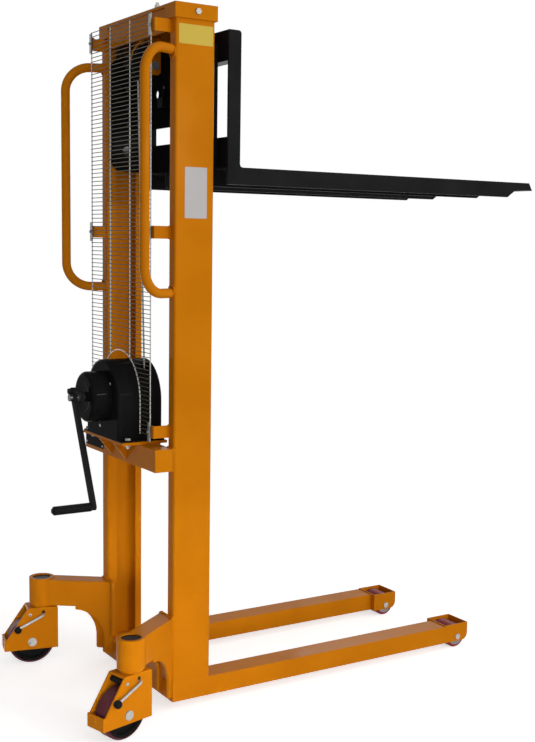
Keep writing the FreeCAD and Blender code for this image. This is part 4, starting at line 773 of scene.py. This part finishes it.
(wind_back, wind_front), (wind_right, wind_left), (wind_low, wind_high) = span("rope_winding")
wind_middle = at(0, (wind_right + wind_left) / 2, (wind_low + wind_high) / 2)
wind_round = (wind_high - wind_low) / 2 - ROPE_RADIUS
pitch = 2 * ROPE_RADIUS + TURN_GAP
turns = (wind_front - wind_back - 2 * ROPE_RADIUS) / pitch
coil = []
for k in range(int(turns * TURN_STEPS) + 1):
    turn = math.tau * k / TURN_STEPS
    along = wind_back + ROPE_RADIUS + k / TURN_STEPS * pitch
    offset = Vector((along, wind_round * math.cos(turn), wind_round * math.sin(turn)))
    coil.append(wind_middle + offset * MM)
form = bmesh.new()
sweep(form, coil, strands, TURN_SIDES)
drum_turns = piece("drum_turns", form, "winch_drum", rope_wire)
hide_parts("rope_winding")

# %% Rope keeper
KEEPER_ROUND = 79
KEEPER_RADIUS = 2.0
KEEPER_SIDE = -26.5
KEEPER_START, KEEPER_END = 40, 178
KEEPER_STEPS = 40

form = bmesh.new()
ahead, above = Vector((KEEPER_ROUND * MM, 0, 0)), Vector((0, 0, KEEPER_ROUND * MM))
middle = at(pulley_middle, KEEPER_SIDE, fall_top)
keeper = arc(middle, ahead, above, KEEPER_START, KEEPER_END, KEEPER_STEPS)
sweep(form, keeper, KEEPER_RADIUS * MM)
piece("rope_keeper", form, "frame", orange_coat)

# %% [markdown]
# ## Brake levers
# Each caster has a bent rod with a rubber knob, which a foot tips to brake the wheel or let it go. The
# rod comes out of its keyhole, turns a tight elbow and runs down along the plate. The solid has that
# route with a ball at the corner; here the elbow is one smooth arc and the knob a fat bean. A sleeve
# covers the bar that rubs the tread.

# %% Places on a caster
CASTER_TURN = {"right": 14.5, "left": -12.5}
SWIVEL_BACK, SWIVEL_SIDE = 177, 345


def on_caster(side, back, outward, height):
    """A point of a caster: back from its kingpin, out from its middle plane, above the floor."""
    turn = Matrix.Rotation(math.radians(CASTER_TURN[side]), 4, "Z")
    hub = at(-SWIVEL_BACK, dict(SIDES)[side] * SWIVEL_SIDE, 0)
    return hub + turn @ (Vector((-back, -outward, height)) * MM)


print("casters turned", CASTER_TURN, "degrees")

# %% Rods, knobs and sleeves
LEVER_HEIGHT = 166
ROD_RADIUS = 4.0
ROD_OUT = 48.5
ROD_SLOPE = math.radians(26)
ROD_LENGTH = 88
KNOB_ALONG, KNOB_OUT, KNOB_DROP = 93, -2, 3
PLATE_OUT = 35.5
ELBOW = 9.0
KEYHOLE_RISE = 6.5
BAR_BACK, BAR_HEIGHT = 43, 166.5
KEYHOLE_OUTLINE = [(-1, 5.2), (0.25, 5.2), (0.25, 0.4)]
SLEEVE_OUTLINE = [(-30.2, 7.9), (-30.2, 8.7), (30.2, 8.7), (30.2, 7.9)]
KNOB_OUTLINE = [(-10, 3), (-9.2, 7.5), (-6.5, 10.6), (-2.5, 12), (1, 11.7), (4, 11.5), (7, 9.8),
                (9.2, 6.5), (10, 2)]
ELBOW_STEPS, ROD_SIDES = 10, 16
KEYHOLE_STEPS, SLEEVE_STEPS, KNOB_STEPS = 24, 32, 32

for side, _ in SIDES:
    lever, caster = f"{side}_brake_lever", f"{side}_caster"
    hub = on_caster(side, 0, 0, 0)
    out = on_caster(side, 0, 1, 0) - hub
    down = on_caster(side, math.cos(ROD_SLOPE), 0, -math.sin(ROD_SLOPE)) - hub
    corner = on_caster(side, 0, ROD_OUT, LEVER_HEIGHT)
    elbow_middle = corner - out * ELBOW + down * ELBOW
    elbow = arc(elbow_middle, -down * ELBOW, out * ELBOW, 0, 90, ELBOW_STEPS)
    form = bmesh.new()
    route = [on_caster(side, 0, -PLATE_OUT, LEVER_HEIGHT)] + elbow + [corner + down * ROD_LENGTH]
    sweep(form, route, ROD_RADIUS * MM, ROD_SIDES)
    rod = piece(f"{side}_brake_rod", form, lever, zinc_plate)
    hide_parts(lever)
    form = bmesh.new()
    knob_middle = corner + down * KNOB_ALONG + out * KNOB_OUT - Vector((0, 0, KNOB_DROP * MM))
    lathe(form, KNOB_OUTLINE, knob_middle, out, steps=KNOB_STEPS)
    piece(f"{side}_brake_knob", form, lever, moulded_black)
    form = bmesh.new()
    keyhole = on_caster(side, 0, PLATE_OUT, LEVER_HEIGHT + KEYHOLE_RISE)
    lathe(form, KEYHOLE_OUTLINE, keyhole, out, steps=KEYHOLE_STEPS)
    bar = on_caster(side, BAR_BACK, 0, BAR_HEIGHT)
    lathe(form, SLEEVE_OUTLINE, bar, out, loop=True, steps=SLEEVE_STEPS)
    piece(f"{side}_brake_sleeve", form, caster, moulded_black)

# %% [markdown]
# ## Weld beads
# The frame is welded, and the coat softens each bead without hiding it. A bump texture could fake
# them, but beads stand in corners where two solids meet, so they are swept along the seams with a
# ripple.

# %% Bead helper
RIPPLE = 3.4
RIPPLE_SWELL = 0.10
RIPPLE_POINTS = 4
BEAD_SIDES = 8


def bead(form, points, radius):
    """A rippled bead along a path of corner points."""
    path = [points[0]]
    for start, end in zip(points, points[1:]):
        path += line(start, end, RIPPLE / RIPPLE_POINTS)[1:]

    def ripple(gone, turn):
        return radius * MM * (1 + RIPPLE_SWELL * math.sin(math.tau * gone / (RIPPLE * MM)))

    sweep(form, path, ripple, BEAD_SIDES)


# %% Beads at the arms and the winch beam
ARM_ROOT = 214
ARM_INNER = 176.7
STRIP_FOOT = 104
ARM_BEAD, STRIP_BEAD, BEAM_BEAD, BEAM_END_BEAD = 4.4, 6.5, 3.6, 2.2

_, (upright_out, upright_in), _ = span("right_upright")
_, _, (arm_low, arm_high) = span("outrigger_arms")
(beam_back, _), (beam_right, _), (beam_low, beam_high) = span("winch_beam")
arm_outer = 2 * ARM_ROOT - ARM_INNER

form = bmesh.new()
for _, sign in SIDES:
    inner, outer = sign * ARM_INNER, sign * arm_outer
    lip, beam_end = sign * abs(upright_in), -sign * beam_right
    bead(form, [at(0, outer, arm_low), at(0, outer, arm_high), at(0, lip, arm_high),
                at(0, inner, arm_high)], ARM_BEAD)
    bead(form, [at(0, inner, arm_high), at(0, inner, STRIP_FOOT)], STRIP_BEAD)
    for height in (beam_low, beam_high):
        bead(form, [at(0, lip, height), at(0, beam_end, height)], BEAM_BEAD)
    bead(form, [at(0, beam_end, beam_low), at(0, beam_end, beam_high)], BEAM_END_BEAD)
piece("frame_welds", form, "frame", orange_coat)

# %% Beads at the handles and the guard's tabs
HANDLE_SIDE = 235.5
HANDLE_ROUND = 15
HANDLE_SPLAY = math.radians(24)
HANDLE_HALF = 21.3
HANDLE_STEPS = 40
TAB_HEIGHTS = (836, 1410, 1982)
TAB_HALF = 18
TAB_IN, TAB_OUT = 217, 228
HANDLE_BEAD, TAB_BEAD = 3.2, 1.8

handle_low, handle_high = span("right_handle")[2]
wide = Vector((0, HANDLE_ROUND / math.cos(HANDLE_SPLAY) * MM, 0))
tall = Vector((0, 0, HANDLE_ROUND * MM))
form = bmesh.new()
for _, sign in SIDES:
    for height in (handle_low + HANDLE_HALF, handle_high - HANDLE_HALF):
        ring = arc(at(0, sign * HANDLE_SIDE, height), wide, tall, 0, 360, HANDLE_STEPS)
        bead(form, ring, HANDLE_BEAD)
    for height in TAB_HEIGHTS:
        for edge in (height - TAB_HALF, height + TAB_HALF):
            bead(form, [at(0, sign * TAB_IN, edge), at(0, sign * TAB_OUT, edge)], TAB_BEAD)
piece("fitting_welds", form, "frame", orange_coat)

# %% Seams of the caster yokes
YOKE_BACK, YOKE_FOOT, YOKE_BAND = 126, 49.5, 88
SEAM_OUT, SEAM_BEAD = 2, 1.5

for side, _ in SIDES:
    form = bmesh.new()
    heights = (YOKE_FOOT + SEAM_BEAD, YOKE_BAND)
    bead(form, [on_caster(side, YOKE_BACK, SEAM_OUT, height) for height in heights], SEAM_BEAD)
    piece(f"{side}_yoke_seam", form, f"{side}_caster", orange_coat)

# %% [markdown]
# ## Small fittings
# A lid closes the gear cover round the crank's shaft, a seam runs over the winch cover, and pan screws
# hold it. A texture could stand for them, but they are what catches the light on so black a cover.
# The lid and the screws are turned on the lathe, and the seam is one more bead.

# %% Inner lid of the gear cover
LID_OUTLINE = [(-0.3, 41.9), (-1.2, 14), (-13.6, 14), (-13.6, 41.9)]
REARWARD = Vector((-1, 0, 0))

(gear_back, _), (gear_right, gear_left), (gear_low, gear_high) = span("gear_cover")
form = bmesh.new()
gear_middle = at(gear_back, (gear_right + gear_left) / 2, (gear_low + gear_high) / 2)
lathe(form, LID_OUTLINE, gear_middle, REARWARD, loop=True)
piece("gear_lid", form, "frame", black_coat)

# %% Seam of the winch cover
COVER_ROUND, COVER_EDGE = 117, 8
SEAM_SET = 2.6
COVER_BEAD = 1.3
CROWN_STEPS = 36

(cover_back, _), (cover_right, cover_left), (cover_low, cover_high) = span("winch_cover")
cover_middle = (cover_right + cover_left) / 2
seam_round = (COVER_ROUND - SEAM_SET) * MM
crown = at(cover_back + SEAM_SET, cover_middle, cover_high - COVER_ROUND)
across, above = Vector((0, -seam_round, 0)), Vector((0, 0, seam_round))
over_crown = arc(crown, across, above, 0, 180, CROWN_STEPS)
drop = Vector((0, 0, (cover_high - COVER_ROUND - cover_low - COVER_EDGE) * MM))
form = bmesh.new()
bead(form, [over_crown[0] - drop] + over_crown + [over_crown[-1] - drop], COVER_BEAD)
piece("cover_seam", form, "frame", black_coat)

# %% Cover screws
SCREW_OUTLINE = [(-1, 4.6), (1.6, 4.6), (2.6, 3.6), (2.9, 2.2), (1.2, 1.9)]
SCREW_PLACES = [(-60, 962), (68, 962), (12, 828)]
SCREW_STEPS = 20

form = bmesh.new()
for side, height in SCREW_PLACES:
    lathe(form, SCREW_OUTLINE, at(cover_back, side, height), REARWARD, steps=SCREW_STEPS)
piece("cover_screws", form, "frame", zinc_plate)

# %% [markdown]
# ## Plate and films
# A riveted plate sits on the winch beam, and two films are stuck on the near upright. All are blank. A
# picture of them could be laid on the paint, but a thin slab with round corners has a real edge that
# catches light.

# %% Round corners
CORNER_STEPS = 4


def rounded(place, wide, tall, radius):
    """A rectangle with round corners; place turns its two lengths into a point."""
    points = []
    for quarter, (across, upward) in enumerate(((1, 1), (0, 1), (0, 0), (1, 0))):
        first = wide[across] - radius * (2 * across - 1)
        second = tall[upward] - radius * (2 * upward - 1)
        for step in range(CORNER_STEPS + 1):
            turn = math.tau * (quarter + step / CORNER_STEPS) / 4
            points.append(place(first + radius * math.cos(turn), second + radius * math.sin(turn)))
    return points


# %% Blank plate and its rivets
PLATE_SIDES, PLATE_HEIGHTS = (112, 248), (734, 786)
PLATE_THICK, PLATE_ROUND = 1.5, 4
RIVET_INSET, RIVET_STEPS = 8, 16
RIVET_OUTLINE = [(-1, 3.2), (1.8, 3.2), (2.6, 2.2), (2.9, 0.5)]


def on_beam(side, height):
    """A point on the rear face of the winch beam."""
    return at(beam_back, side, height)


form = bmesh.new()
slab(form, rounded(on_beam, PLATE_SIDES, PLATE_HEIGHTS, PLATE_ROUND), REARWARD * PLATE_THICK)
piece("blank_plate", form, "frame", black_coat)
form = bmesh.new()
for side in (PLATE_SIDES[0] + RIVET_INSET, PLATE_SIDES[1] - RIVET_INSET):
    for height in (PLATE_HEIGHTS[0] + RIVET_INSET, PLATE_HEIGHTS[1] - RIVET_INSET):
        lathe(form, RIVET_OUTLINE, on_beam(side, height), REARWARD, steps=RIVET_STEPS)
piece("plate_rivets", form, "frame", zinc_plate)

# %% Blank films
STICKER_THICK, STICKER_ROUND = 0.4, 2.5
STICKERS = [("yellow_sticker", yellow_film, (9, 117), (1933, 1987)),
            ("pale_sticker", pale_film, (30, 101), (1451, 1595))]


def on_upright(ahead, height):
    """A point on the outer face of the right upright."""
    return at(ahead, upright_out, height)


for name, finish, reach, heights in STICKERS:
    form = bmesh.new()
    outline = rounded(on_upright, reach, heights, STICKER_ROUND)
    slab(form, outline, Vector((0, -STICKER_THICK, 0)))
    piece(name, form, "frame", finish)

# %% [markdown]
# ## Ends of the load rollers
# The load rollers in the leg ends are cast round a steel core, which shows as a bright ring at each
# end. The core could be painted on by distance from the axle; a thin turned disc is simpler and has
# its own edge.

# %% Load roller ends
ROLLER_AHEAD, ROLLER_SIDE, ROLLER_HEIGHT = 1103, 205, 40
ROLLER_HALF, DISC_HALF = 43, 0.5
DISC_HOLE, DISC_ROUND = 11, 31

disc_in, disc_out = ROLLER_HALF - DISC_HALF, ROLLER_HALF + DISC_HALF
disc_outline = [(disc_in, DISC_HOLE), (disc_out, DISC_HOLE),
                (disc_out, DISC_ROUND), (disc_in, DISC_ROUND)]
for side, sign in SIDES:
    middle = at(ROLLER_AHEAD, sign * ROLLER_SIDE, ROLLER_HEIGHT)
    form = bmesh.new()
    for way in (-1, 1):
        lathe(form, disc_outline, middle, Vector((0, way, 0)), loop=True)
    piece(f"{side}_roller_discs", form, f"{side}_load_roller", turned_steel)
